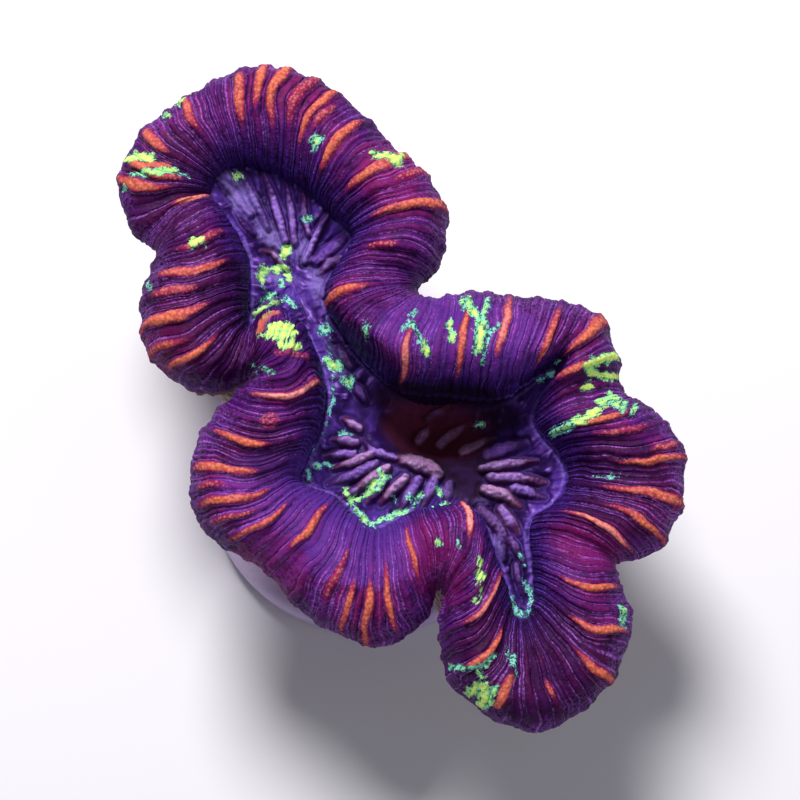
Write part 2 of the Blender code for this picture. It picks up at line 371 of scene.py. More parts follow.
def valleyFloor(x, y):                          # the floor without its ridges
    return wall["footHeight"] - valley["drop"] - valley["pitDepth"] * pitShare(x, y)


def wallColumns():
    keys = np.array([(*foot, *crest, *skirt, height) for foot, crest, skirt, height in stations])
    fine = loopThrough(keys, wall["stepsBetween"])
    stride = np.roll(fine, -1, 0) - fine
    length = sum(np.linalg.norm(stride[:, 2 * i:2 * i + 2], axis=1) * share
                 for i, share in enumerate(wall["shares"]))
    reached = np.concatenate([[0.0], np.cumsum(length)])
    wanted = np.arange(wall["columns"]) / wall["columns"] * reached[-1]
    closed = np.vstack([fine, fine[:1]])
    even = np.column_stack([np.interp(wanted, reached, closed[:, i]) for i in range(7)])
    even = softLoop(even, wall["pathReach"])
    away = np.linalg.norm(even[:, :2] - np.array(wall["overhangSpot"]), axis=1)
    footHeight = wall["footHeight"] + wall["overhangLift"] * np.exp(-(away / wall["overhangReach"]) ** 4)
    foot = alongSight(even[:, 0:2], footHeight)
    crest = alongSight(even[:, 2:4], even[:, 6])
    skirt = alongSight(even[:, 4:6], np.full(len(even), wall["skirtHeight"]))
    return foot, crest, skirt


def wallPath(foot, crest, skirt):               # the wall's cross-section at each column
    inward = crest - foot
    inward[:, 2] = 0
    inward /= np.linalg.norm(inward, axis=1)[:, None]
    deep = np.minimum(valleyFloor(foot[:, 0], foot[:, 1]), foot[:, 2] - 2.0) - 1.5
    path, across = [], []
    for share, drop in wall["underFoot"]:
        row = foot + inward * valley["tuck"] * share
        row[:, 2] = foot[:, 2] + (deep - foot[:, 2]) * drop
        path.append(row)
        across.append(-1.0 - 0.3 * drop)
    for angle in range(180, -1, -5):
        turn = math.radians(angle)
        end = foot if angle > 90 else skirt
        row = crest + (end - crest) * abs(math.cos(turn))
        row[:, 2] = end[:, 2] + (crest[:, 2] - end[:, 2]) * math.sin(turn)
        path.append(row)
        across.append(math.cos(turn))
    for share, height, mark in wall["lowerLip"]:
        row = crest + (skirt - crest) * share
        row[:, 2] = height
        path.append(row)
        across.append(mark)
    path = np.array(path)
    edgeWave = lumps(path[-3:], wall["edgeWaveSize"], 6.1) * wall["edgeWaveHeight"]
    path[-3:, :, 2] += edgeWave * np.array([0.5, 1.0, 1.0])[:, None]
    return path, np.array(across)


def evenRows(path, across, rows):               # the same path with its rows evenly spaced
    held = path.copy()
    for _ in range(wall["smoothing"]):
        held[1:-1] = (held[:-2] + 2 * held[1:-1] + held[2:]) / 4
    gaps = np.linalg.norm(np.diff(held, axis=0), axis=2)
    reached = np.vstack([np.zeros(held.shape[1]), np.cumsum(gaps, axis=0)])
    points = np.empty((rows + 1, held.shape[1], 3))
    marks = np.empty((rows + 1, held.shape[1]))
    for c in range(held.shape[1]):
        wanted = np.linspace(0, reached[-1, c], rows + 1)
        marks[:, c] = np.interp(wanted, reached[:, c], across)
        for axis in range(3):
            points[:, c, axis] = np.interp(wanted, reached[:, c], held[:, c, axis])
    lengths = np.linspace(0, 1, rows + 1)[:, None] * reached[-1][None, :]
    return points, marks, lengths


def closeLoop(values):                          # the first column again after the last
    return np.concatenate([values, values[:, :1]], 1)


def sheetNormals(points):                       # rows by columns, closed along the columns
    along = np.roll(points, -1, 1) - np.roll(points, 1, 1)
    over = np.gradient(points, axis=0)
    normal = np.cross(over, along)              # out of the coral
    normal /= np.linalg.norm(normal, axis=2)[:, :, None] + 1e-12
    return normal


foot, crest, skirt = wallColumns()
path, across = wallPath(foot, crest, skirt)
wallPoints, wallAcross, wallLength = evenRows(path, across, wall["rows"])
print("the wall's lie is worked out")

# Ribs and their colours

# Coloured ribs as read on the plane: outer end, inner end, kind, strength
stripes = (
    (-14.0, 53.6, -17.3, 48.5, "orange", 0.9), (-18.2, 53.3, -19.5, 46.0, "orange", 0.9),
    (-10.0, 52.5, -15.3, 46.6, "orange", 1.0), (-8.0, 51.5, -11.3, 46.0, "red", 0.8),
    (-4.5, 50.1, -10.0, 43.0, "orange", 1.0), (-5.2, 48.0, -8.2, 45.6, "red", 0.7),
    (-1.0, 45.0, -7.0, 39.4, "orange", 1.0), (4.4, 40.2, -1.8, 35.0, "orange", 1.0),
    (7.9, 37.4, 4.6, 36.6, "red", 0.6), (11.0, 33.2, 1.2, 31.0, "orange", 1.0),
    (9.1, 26.0, 0.4, 28.0, "orange", 1.0), (3.4, 26.4, 0.7, 27.2, "red", 0.6),
    (-0.5, 20.5, -5.8, 16.8, "orange", 0.9), (6.5, 13.8, 4.9, 6.0, "pink", 0.9),
    (13.8, 17.0, 13.5, 7.3, "orange", 1.0), (20.0, 18.6, 19.0, 10.5, "pink", 0.7),
    (27.8, 16.6, 24.0, 9.0, "orange", 0.8), (33.1, 15.0, 28.7, 10.0, "orange", 0.9),
    (32.1, 9.3, 27.5, 6.8, "orange", 0.7), (35.5, 2.6, 30.0, -0.8, "orange", 0.8),
    (38.4, 1.1, 33.8, -2.3, "red", 0.7), (41.5, -0.6, 35.5, -4.4, "orange", 0.8),
    (43.4, -2.5, 40.8, -4.0, "red", 0.7), (44.7, -4.2, 36.2, -6.1, "orange", 0.9),
    (44.9, -12.2, 34.3, -9.0, "orange", 1.0), (41.8, -17.5, 34.9, -12.0, "orange", 0.8),
    (36.8, -18.0, 28.4, -12.9, "pink", 0.9), (35.0, -23.6, 27.8, -22.0, "orange", 1.0),
    (36.0, -29.4, 29.0, -28.4, "orange", 1.0), (34.1, -36.8, 29.5, -32.7, "orange", 0.8),
    (25.5, -39.0, 25.5, -37.0, "orange", 0.4), (17.9, -39.6, 20.2, -36.5, "orange", 0.7),
    (13.8, -34.1, 18.9, -30.4, "orange", 0.85), (14.0, -27.0, 19.2, -23.0, "pink", 0.8),
    (14.8, -12.3, 13.2, -15.5, "pale", 0.9), (7.4, -21.3, 5.1, -15.8, "orange", 0.8),
    (5.0, -28.4, 2.0, -21.0, "orange", 0.8), (0.4, -31.5, 0.5, -23.0, "orange", 1.0),
    (-4.0, -29.3, -1.4, -23.5, "orange", 0.9), (-7.0, -24.4, -2.3, -19.0, "red", 0.6),
    (-10.6, -17.5, -5.8, -12.0, "orange", 0.85), (-18.1, -17.0, -12.5, -11.5, "orange", 1.0),
    (-20.9, -14.9, -16.7, -12.0, "red", 0.6), (-23.0, -12.5, -14.9, -9.0, "orange", 0.9),
    (-23.6, -9.7, -20.4, -8.6, "red", 0.6), (-24.2, -6.1, -16.0, -6.9, "orange", 1.0),
    (-21.0, -0.8, -15.0, -3.5, "orange", 1.0), (-15.2, 6.4, -6.9, 3.2, "pale", 0.9),
    (-23.0, 9.5, -20.3, 14.0, "orange", 0.8), (-27.5, 7.6, -23.2, 13.5, "orange", 1.0),
    (-31.0, 10.0, -27.2, 13.3, "orange", 0.5), (-33.0, 14.6, -24.0, 16.8, "orange", 1.0),
    (-30.6, 20.0, -25.3, 19.6, "red", 0.8), (-29.8, 23.8, -21.2, 22.8, "orange", 0.9),
    (-27.7, 28.0, -21.2, 27.0, "red", 0.7), (-29.0, 34.0, -22.3, 34.0, "pink", 0.9),
    (-36.2, 34.0, -29.6, 36.6, "orange", 0.8), (-35.0, 39.0, -27.8, 37.5, "orange", 0.8),
    (-34.0, 42.2, -28.7, 43.0, "orange", 0.9), (-27.9, 49.0, -24.9, 45.3, "orange", 0.7),
)
stripeKinds = {"red": 0.0, "orange": 0.45, "pink": 0.75, "pale": 1.0}

# Green crusts as read on the plane: middle, half width, half height, turn, how yellow
blooms = (
    (-28.0, 49.0, 0.8, 0.7, 0, 0.9), (-30.0, 47.0, 0.7, 0.6, 0, 0.8), (2.9, 40.2, 2.3, 0.9, -25, 1.0),
    (-25.2, 27.2, 1.2, 1.0, -40, 1.0), (15.8, -20.0, 0.5, 0.6, 0, 1.0), (15.8, -22.0, 0.6, 0.8, 0, 1.0),
    (16.3, -24.0, 0.5, 0.7, 0, 0.9), (15.2, -25.4, 0.5, 0.4, 0, 0.9), (35.9, -27.3, 0.8, 1.6, 0, 0.3),
    (-7.7, 43.0, 0.8, 1.7, -25, 0.3), (-9.0, 31.0, 0.9, 0.6, 0, 0.1), (-19.5, 37.5, 0.9, 0.7, 0, 1.0),
    (-12.0, 25.7, 0.8, 1.1, 0, 1.0), (-15.4, 22.4, 0.7, 1.5, 0, 0.9), (-12.6, 21.0, 0.9, 0.6, -30, 0.1),
    (-4.8, 8.6, 2.3, 1.1, -40, 0.4), (-3.2, 6.6, 1.4, 1.0, -40, 0.2), (-6.2, 14.0, 0.9, 1.2, 0, 0.1),
    (-0.6, 13.7, 0.7, 1.7, 0, 0.3), (26.5, 8.2, 2.8, 1.0, 42, 0.0), (16.2, 0.0, 1.3, 0.5, 0, 0.4),
    (-3.5, -1.3, 1.0, 0.5, 0, 0.2), (35.2, -7.5, 1.8, 0.4, 0, 0.0), (-32.0, 21.0, 0.6, 0.9, 0, 0.2),
)
# Crusts that run along a line: points on the line, half width, how yellow
crustLines = (
    ((-13.9, 14.5, -11.1, 14.5), 0.6, 1.0), ((-14.2, 13.4, -11.1, 13.6), 0.55, 1.0),
    ((-15.4, 13.3, -14.1, 13.1), 0.35, 0.9), ((-12.5, 11.8, -10.0, 11.6), 0.5, 1.0),
    ((-16.4, 8.8, -15.2, 8.2, -13.9, 7.7), 0.3, 0.2), ((-16.2, 7.6, -15.7, 7.9), 0.25, 0.1),
    ((11.2, -35.0, 13.0, -34.8, 14.8, -35.0, 16.5, -34.5, 17.9, -33.1), 0.4, 0.25),
    ((15.3, -35.1, 16.0, -36.4), 0.45, 0.7),
    ((14.3, -38.6, 15.6, -37.5, 16.7, -38.0, 16.3, -40.0, 15.3, -40.5), 0.6, 0.85),
    ((15.5, -38.9, 17.1, -39.3, 17.8, -37.8), 0.5, 0.8),
    ((19.7, -32.4, 20.2, -33.8, 20.8, -35.7), 0.3, 0.0),
    ((-35.2, 40.1, -33.9, 40.5, -32.3, 40.2), 0.65, 0.95),
    ((-34.7, 37.6, -32.6, 37.9, -30.6, 38.2, -28.2, 38.2), 0.45, 0.7),
    ((-27.9, 37.9, -26.2, 37.4), 0.3, 0.1), ((-36.1, 35.3, -35.4, 35.6), 0.35, 0.5),
    ((6.2, 16.6, 6.9, 16.9), 0.4, 0.1), ((5.0, 14.0, 6.0, 15.2, 7.1, 13.9, 7.5, 12.2), 0.4, 0.15),
    ((8.2, 12.2, 8.3, 10.4), 0.5, 0.8), ((11.8, 15.1, 12.0, 12.8), 0.45, 0.8),
    ((13.9, 18.2, 15.2, 17.0, 15.9, 15.5, 16.3, 13.4, 15.8, 11.0), 0.7, 0.55),
    ((17.2, 18.1, 16.6, 16.3, 16.6, 14.0), 0.5, 0.35),
    ((18.9, 14.9, 17.6, 13.6, 17.0, 11.5, 16.5, 8.9), 0.35, 0.15),
    ((-7.4, -6.1, -6.1, -5.7, -4.8, -6.4), 0.35, 0.15), ((-8.5, -6.7, -8.3, -7.8), 0.4, 0.1),
    ((-3.4, -9.3, -2.6, -10.7, -1.9, -11.8), 0.5, 0.85),
    ((-1.9, -11.8, -0.9, -13.1, -0.2, -14.4, 0.9, -14.6), 0.55, 0.45),
    ((0.9, -14.6, 2.2, -13.8, 3.5, -13.1, 4.6, -12.8), 0.5, 0.35),
    ((5.0, -12.9, 6.3, -12.2, 7.2, -10.9, 7.9, -10.2), 0.4, 0.5),
    ((8.1, -12.6, 10.0, -12.2, 11.7, -11.6), 0.4, 0.5), ((-1.2, -10.9, 0.2, -9.7, 1.2, -8.3), 0.55, 0.7),
    ((1.6, -7.0, 2.6, -7.8, 1.5, -9.3), 0.5, 0.4), ((9.7, -16.9, 10.0, -17.4), 0.35, 0.8),
    ((12.7, -16.7, 12.9, -17.5, 13.8, -18.1), 0.25, 0.5), ((3.7, -10.4, 4.0, -11.5), 0.3, 0.3),
    ((5.9, -10.3, 6.2, -11.3), 0.3, 0.3), ((10.0, -9.4, 10.3, -10.0), 0.4, 0.4),
    ((21.4, -18.5, 22.1, -20.2), 0.3, 0.0),
    ((21.9, -22.8, 22.9, -24.2, 23.3, -26.2, 22.3, -27.6, 21.0, -27.1, 20.2, -25.4, 19.8, -23.9), 0.38, 0.0),
    ((30.9, 5.2, 31.7, 5.8), 0.4, 0.95), ((33.4, 3.3, 35.0, 4.2, 35.7, 3.2), 0.6, 0.7),
    ((36.7, 3.0, 36.4, 2.0), 0.45, 0.5), ((38.4, 3.0, 37.9, 1.8), 0.4, 0.6),
    ((26.3, -1.4, 27.9, -0.5, 29.6, 0.2), 0.6, 0.15), ((29.5, 0.4, 31.2, 0.9, 32.8, 2.0), 0.6, 0.95),
    ((32.2, 7.6, 33.9, 7.1, 35.6, 7.0), 0.55, 0.95), ((31.6, 8.6, 33.4, 9.5, 35.0, 10.0), 0.7, 0.9),
    ((-6.0, 15.7, -5.5, 11.0, -5.0, 5.8, -5.0, 3.0, -5.8, 0.8, -6.8, -2.4, -8.4, -4.8), 0.22, 0.0),
    ((-16.3, 16.4, -13.2, 18.2), 0.5, 1.0), ((-14.8, 23.2, -12.1, 23.3, -11.4, 21.8), 0.5, 1.0),
    ((-15.7, 18.6, -13.5, 19.1), 0.45, 0.3), ((-11.8, 18.9, -10.3, 17.3), 0.45, 0.1),
)
lineSpread = 1.2                # the lines are this much wider than read
# Orange and magenta blushes that lie across the ribs: a kind stands in place of the yellow
blushes = ((-14.0, 0.6, 1.5, 1.4, 0, 0.3),)
blushLines = (
    ((-15.6, 13.9, -15.3, 15.8, -14.1, 16.9, -12.2, 17.2, -10.9, 16.1), 0.5, 0.75),
    ((-13.3, 10.7, -11.2, 10.7, -9.4, 10.3, -7.2, 9.2), 0.45, 0.35),
    ((-34.1, 39.1, -31.8, 39.3, -29.4, 39.0), 0.5, 0.8),
    ((18.2, -39.8, 19.4, -38.0, 20.1, -36.4), 0.5, 0.7),
)
# Where the wall is more violet, in the way of the crusts
lilacs = ((-7.0, -13.5, 17.0, 9.0, -25, 1.0), (14.0, 13.0, 14.0, 7.0, -8, 1.0))
# Painted shade: where the wall is darker and redder
duskShades = (
    (-24.0, 17.0, 9.0, 12.0, 20, 1.0), (23.5, -34.0, 13.0, 9.0, 0, 1.0), (36.0, -9.0, 8.0, 8.0, 0, 1.0),
    (-29.0, 36.0, 7.0, 10.0, -20, 1.0), (-16.5, -4.0, 6.5, 5.0, 0, 1.0),
)
# Where the wall is flushed with magenta
flushes = (
    (-13.5, -20.5, 6.0, 5.0, -40, 1.0), (31.5, -17.5, 6.0, 3.5, -20, 1.0),
    (9.5, -20.0, 4.0, 7.0, 20, 1.0), (3.0, 38.0, 5.0, 5.0, 0, 1.0), (-29.0, 11.0, 5.0, 4.0, 0, 1.0),
)
# The dark under the overhanging wall, in the way of the crusts
shadows = ((10.3, 3.9, 11.5, 4.2, -4, 1.0), (15.8, 1.8, 7.5, 3.4, -12, 1.0))
floorShadows = (*shadows, (10.2, -2.6, 10.0, 5.0, -26, 1.0), (13.6, -8.4, 3.0, 4.4, 40, 1.0))


def nearestOnWall(seen, x, y):                  # row and column of the wall that lies at a read point
    away = (seen[..., 0] - x) ** 2 + (seen[..., 1] - y) ** 2
    away = np.where(abs(wallAcross) <= 1.0, away, 1e9)
    return np.unravel_index(np.argmin(away), away.shape)


def lineGap(x, y, line):                        # distance to a line of points, and how far along it that is
    knots = np.array(line).reshape(-1, 2)
    runs = np.linalg.norm(np.diff(knots, axis=0), axis=1)
    best = np.full(x.shape, 99.0)
    share = np.zeros(x.shape)
    for i, ((ax, ay), (bx, by)) in enumerate(zip(knots[:-1], knots[1:])):
        t = np.clip(((x - ax) * (bx - ax) + (y - ay) * (by - ay)) / runs[i] ** 2, 0, 1)
        away = np.hypot(x - ax - (bx - ax) * t, y - ay - (by - ay) * t)
        share = np.where(away < best, (runs[:i].sum() + runs[i] * t) / runs.sum(), share)
        best = np.minimum(best, away)
    return best, share


def patchField(seen, patches, lines=()):        # mm to a patch's edge: above 0 inside it, below 0 outside
    best = np.full(seen.shape[:-1], -3.0)
    kind = np.zeros(seen.shape[:-1])
    for x, y, wide, high, angle, value in patches:
        turn = math.radians(angle)
        dx, dy = seen[..., 0] - x, seen[..., 1] - y
        along = (dx * math.cos(turn) + dy * math.sin(turn)) / wide
        aside = (dy * math.cos(turn) - dx * math.sin(turn)) / high
        field = (1.0 - np.hypot(along, aside)) * min(high, wide)
        kind = np.where(field > best, value, kind)
        best = np.maximum(best, field)
    for line, half, value in lines:
        field = half * lineSpread - lineGap(seen[..., 0], seen[..., 1], line)[0]
        kind = np.where(field > best, value, kind)
        best = np.maximum(best, field)
    return np.clip(best, -1.5, 1.5), kind


def findRibs():                                 # each coloured stripe's place along the crest, in mm
    seen = asSeen(wallPoints)
    found = []
    for x0, y0, x1, y1, kind, strength in stripes:
        rowA, colA = nearestOnWall(seen, x0, y0)
        rowB, colB = nearestOnWall(seen, x1, y1)
        turns = [col * 2 * math.pi / wall["columns"] for col in (colA, colB)]
        middle = math.atan2(sum(math.sin(t) for t in turns), sum(math.cos(t) for t in turns))
        spot = np.interp((middle / (2 * math.pi) * wall["columns"]) % wall["columns"],
                         np.arange(len(crestReach)), crestReach)
        ends = sorted((wallAcross[rowA, colA], wallAcross[rowB, colB]))
        found.append((spot, *ends, stripeKinds[kind], strength))
    found.sort()
    kept = [found[0]]
    for entry in found[1:]:                     # two stripes nearly on one rib share it
        if entry[0] - kept[-1][0] > wall["sharedRib"]:
            kept.append(entry)
    return kept


def layFolds():
    # the folds in their order round the crest: start and end in mm, whether broad, and the stripe on it
    kept = findRibs()
    broad = []
    for i, entry in enumerate(kept):
        after = kept[(i + 1) % len(kept)][0] + (crestReach[-1] if i == len(kept) - 1 else 0)
        share = max(1, round((after - entry[0]) / wall["ribSpacing"]))
        for part in range(share):
            upper = step(np.interp(entry[0], crestReach[:-1], crest[:, 1]), *wall["upperLobe"])
            half = rng.uniform(*(wall["stripeHalf"] if part == 0 else wall["ribHalf"]))
            half *= 1 + 0.3 * upper * (part == 0)
            drift = rng.uniform(-0.25, 0.25) if part else 0.0
            spot = entry[0] + (after - entry[0]) * part / share + drift
            half = min(half, (after - entry[0]) / share * 0.42)
            broad.append((spot - half, spot + half, entry if part == 0 else None))
    laid = []
    for i, (start, end, stripe) in enumerate(broad):
        laid.append((start, end, 1.0, stripe))
        after = broad[(i + 1) % len(broad)][0] + (crestReach[-1] if i == len(broad) - 1 else 0)
        count = max(1, round((after - end) / wall["foldWidth"]))
        widths = np.cumsum(rng.uniform(0.5, 1.5, count))
        cuts = end + (after - end) * np.concatenate([[0.0], widths / widths[-1]])
        for a, b in zip(cuts[:-1], cuts[1:]):
            laid.append((a, b, 0.0, None))
    return laid


def drawPerFold(broadRange, narrowRange):       # one number for each fold
    broad = rng.uniform(*broadRange, len(folds))
    narrow = rng.uniform(*narrowRange, len(folds))
    return np.where(foldBroad > 0.5, broad, narrow)


crestReach = np.concatenate([[0.0], np.cumsum(np.linalg.norm(np.roll(crest, -1, 0) - crest, axis=1))])
folds = layFolds()
foldEdges = np.array([fold[0] for fold in folds] + [folds[0][0] + crestReach[-1]])
foldBroad = np.array([fold[2] for fold in folds])
foldSpan = np.diff(foldEdges)
foldRise = drawPerFold((0.55, 0.80), (0.10, 0.32))
foldMaroon = drawPerFold((0.5, 1.0), (0.0, 0.6))
print("folds:", len(folds), "of which broad:", int(foldBroad.sum()))


def foldTurn(reach):                            # counts folds: the part after the point runs across a fold
    lap = crestReach[-1]
    edges = np.concatenate([foldEdges[:-1] - lap, foldEdges[:-1], foldEdges + lap])
    return np.interp(reach, edges, np.arange(len(edges)) - len(folds))


def wallFolds():
    # where each point of the wall lies in its fold, and how wide the fold is there
    sway = lumps(wallPoints, 6.5, 31.0) * 0.42 + lumps(wallPoints, 2.4, 17.0) * 0.16
    turn = foldTurn(crestReach[None, :-1] + sway)
    number = np.floor(turn).astype(int) % len(folds)
    aside = (turn - np.floor(turn)) * 2 - 1
    local = np.linalg.norm(np.roll(wallPoints, -1, 1) - np.roll(wallPoints, 1, 1), axis=2) / 2
    squeeze = local / np.diff(crestReach)[None, :]
    return turn, number, aside, foldSpan[number] * squeeze


def stripeField(number):                        # above 0 on a coloured stripe, 1 at its middle
    field = np.full(number.shape, -1.0)
    kind = np.zeros(number.shape)
    for i, (_, _, _, stripe) in enumerate(folds):
        if stripe:
            _, low, high, tint, strength = stripe
            low, high = low - 0.06, high + 0.06
            bow = 1 - abs((wallAcross - (low + high) / 2) / ((high - low) / 2)) ** 1.9
            mine = number == i
            field = np.where(mine, np.maximum(bow, -1) * strength, field)
            kind = np.where(mine, tint, kind)
    return field, kind


def wallSurface(number, aside, span, stripe):
    normal = sheetNormals(wallPoints)
    roll = np.clip(1 - abs(aside) ** 2.2, 0, 1) ** 0.5      # 1 on a fold's top, 0 in the grooves
    towardFoot = step(-wallAcross, 0.1, 1.05)
    towardSkirt = step(wallAcross, 0.45, 1.05)
    broad = foldBroad[number]
    rise = foldRise[number] * (1 - 0.35 * towardFoot * broad) * (1 - (0.65 - 0.35 * broad) * towardSkirt)
    rise *= 1 + 0.45 * lumps(wallPoints, 3.4, 40.0)
    depth = np.minimum(rise, span * 0.42) * step(wallAcross, -1.35, -1.15)
    depth *= 1 - 0.85 * step(wallAcross, 0.8, 1.15)
    shift = depth * roll - 0.9 * np.minimum(0.6, depth)
    shift += 0.34 * np.clip(stripe, 0, 1) ** 0.5 * roll * step(span, 0.6, 1.4)
    calm = step(span, 0.25, 0.7)                # no lumps where the folds are pressed together
    puff = softLoop(broad.T, wall["puffReach"]).T - 0.55
    puffed = wall["puffHeight"] * puff * (1 - 0.7 * towardFoot) * (1 - 0.4 * towardSkirt)
    shift += puffed * step(wallAcross, -1.3, -0.9)
    shift += lumps(wallPoints, wall["lumpSize"], 3.7) * wall["lumpHeight"] * calm
    shift += lumps(wallPoints, 1.7, 9.1) * (0.07 + 0.10 * towardSkirt) * calm
    beads = lumps(wallPoints, wall["beadSize"], 5.3) * (0.04 + 0.03 * broad + 0.06 * towardSkirt)
    beads *= 1 + 1.1 * np.clip(stripe, 0, 1)
    shift += beads * calm
    return wallPoints + normal * shift[..., None]


def giveAttribute(piece, name, values):
    attribute = piece.data.attributes.new(name, "FLOAT", "POINT")
    attribute.data.foreach_set("value", np.ascontiguousarray(values, dtype=np.float32).ravel())


def bendGrid(name, points, attributes):         # a flat grid bent into a sheet of rows by columns
    rows, columns = points.shape[0] - 1, points.shape[1] - 1
    deselectAll()
    bpy.ops.mesh.primitive_grid_add(x_subdivisions=columns, y_subdivisions=rows, size=1)
    piece = bpy.context.object
    piece.name = name
    piece.data.name = name
    piece.data.vertices.foreach_set("co", (points * mm).reshape(-1))
    for key, values in attributes.items():
        giveAttribute(piece, key, values)
    return piece


def settle(piece):                              # its place goes into its points, and it is shaded smooth
    bpy.ops.object.mode_set(mode="OBJECT")
    bpy.ops.object.transform_apply(location=True, rotation=True, scale=True)
    bpy.ops.object.shade_smooth()
    return piece


def makeSheet(name, points, maps, attributes):  # a bent grid with the folds' map on it
    piece = bendGrid(name, points, attributes)
    corners = np.empty(len(piece.data.loops), dtype=np.int32)
    piece.data.loops.foreach_get("vertex_index", corners)
    sheet = piece.data.uv_layers[0]
    sheet.name = "ribMap"
    sheet.data.foreach_set("uv", maps.reshape(-1, 2)[corners].astype(np.float32).ravel())
    bpy.ops.object.mode_set(mode="EDIT")
    bpy.ops.mesh.select_all(action="SELECT")
    bpy.ops.mesh.remove_doubles(threshold=1e-7)
    bpy.ops.mesh.normals_make_consistent(inside=False)
    return settle(piece)


def makeWall():
    # the wall is one skin; it is cut along grooves into pieces that stay small enough
    turn, number, aside, span = wallFolds()
    stripe, kind = stripeField(number)
    points = wallSurface(number, aside, span, stripe)
    seen = asSeen(wallPoints)
    bloom, lime = patchField(seen, blooms, crustLines)
    blush, blushKind = patchField(seen, blushes, blushLines)
    facing = (sheetNormals(wallPoints) * sightLine).sum(2)
    hidden = 2.5 * (1 - step(facing, *wall["turnedAway"]))
    bloom, blush = bloom - hidden, blush - hidden
    dark = patchField(seen, shadows)[0] * step(-wallPoints[..., 2], -43, -39)
    halo = softLoop(np.clip(stripe, 0, 1).T, wall["haloReach"]).T
    girth = span * (0.78 - 0.20 * step(wallPoints[..., 1], *wall["upperLobe"]))
    fields = {"stripe": stripe, "kind": kind, "broad": foldBroad[number], "maroon": foldMaroon[number],
              "across": wallAcross, "bloom": bloom, "lime": lime, "blush": blush, "blushKind": blushKind,
              "shade": dark, "halo": halo, "girth": girth}
    for key, patches in (("lilac", lilacs), ("dusk", duskShades), ("flush", flushes)):
        fields[key] = patchField(seen, patches)[0]
    grooves = abs(aside[wall["rows"] // 2])
    cuts = []
    for i in range(wall["pieces"]):
        near = wall["columns"] * i // wall["pieces"]
        cuts.append(near + int(np.argmax(grooves[near:near + wall["cutReach"]])))
    cuts.append(cuts[0] + wall["columns"])
    made = []
    for i, (start, end) in enumerate(zip(cuts[:-1], cuts[1:])):
        pick = np.arange(start, end + 1) % wall["columns"]
        laps = np.arange(start, end + 1) // wall["columns"]
        maps = np.stack([turn[:, pick] + laps * len(folds), wallLength[:, pick]], -1)
        made.append(makeSheet(f"fleshWall{i + 1}", points[:, pick], maps,
                              {key: values[:, pick] for key, values in fields.items()}))
    return made, turn


fleshWalls, wallTurn = makeWall()
print("wall:", [len(piece.data.polygons) * 2 for piece in fleshWalls], "triangles")

# The valley floor

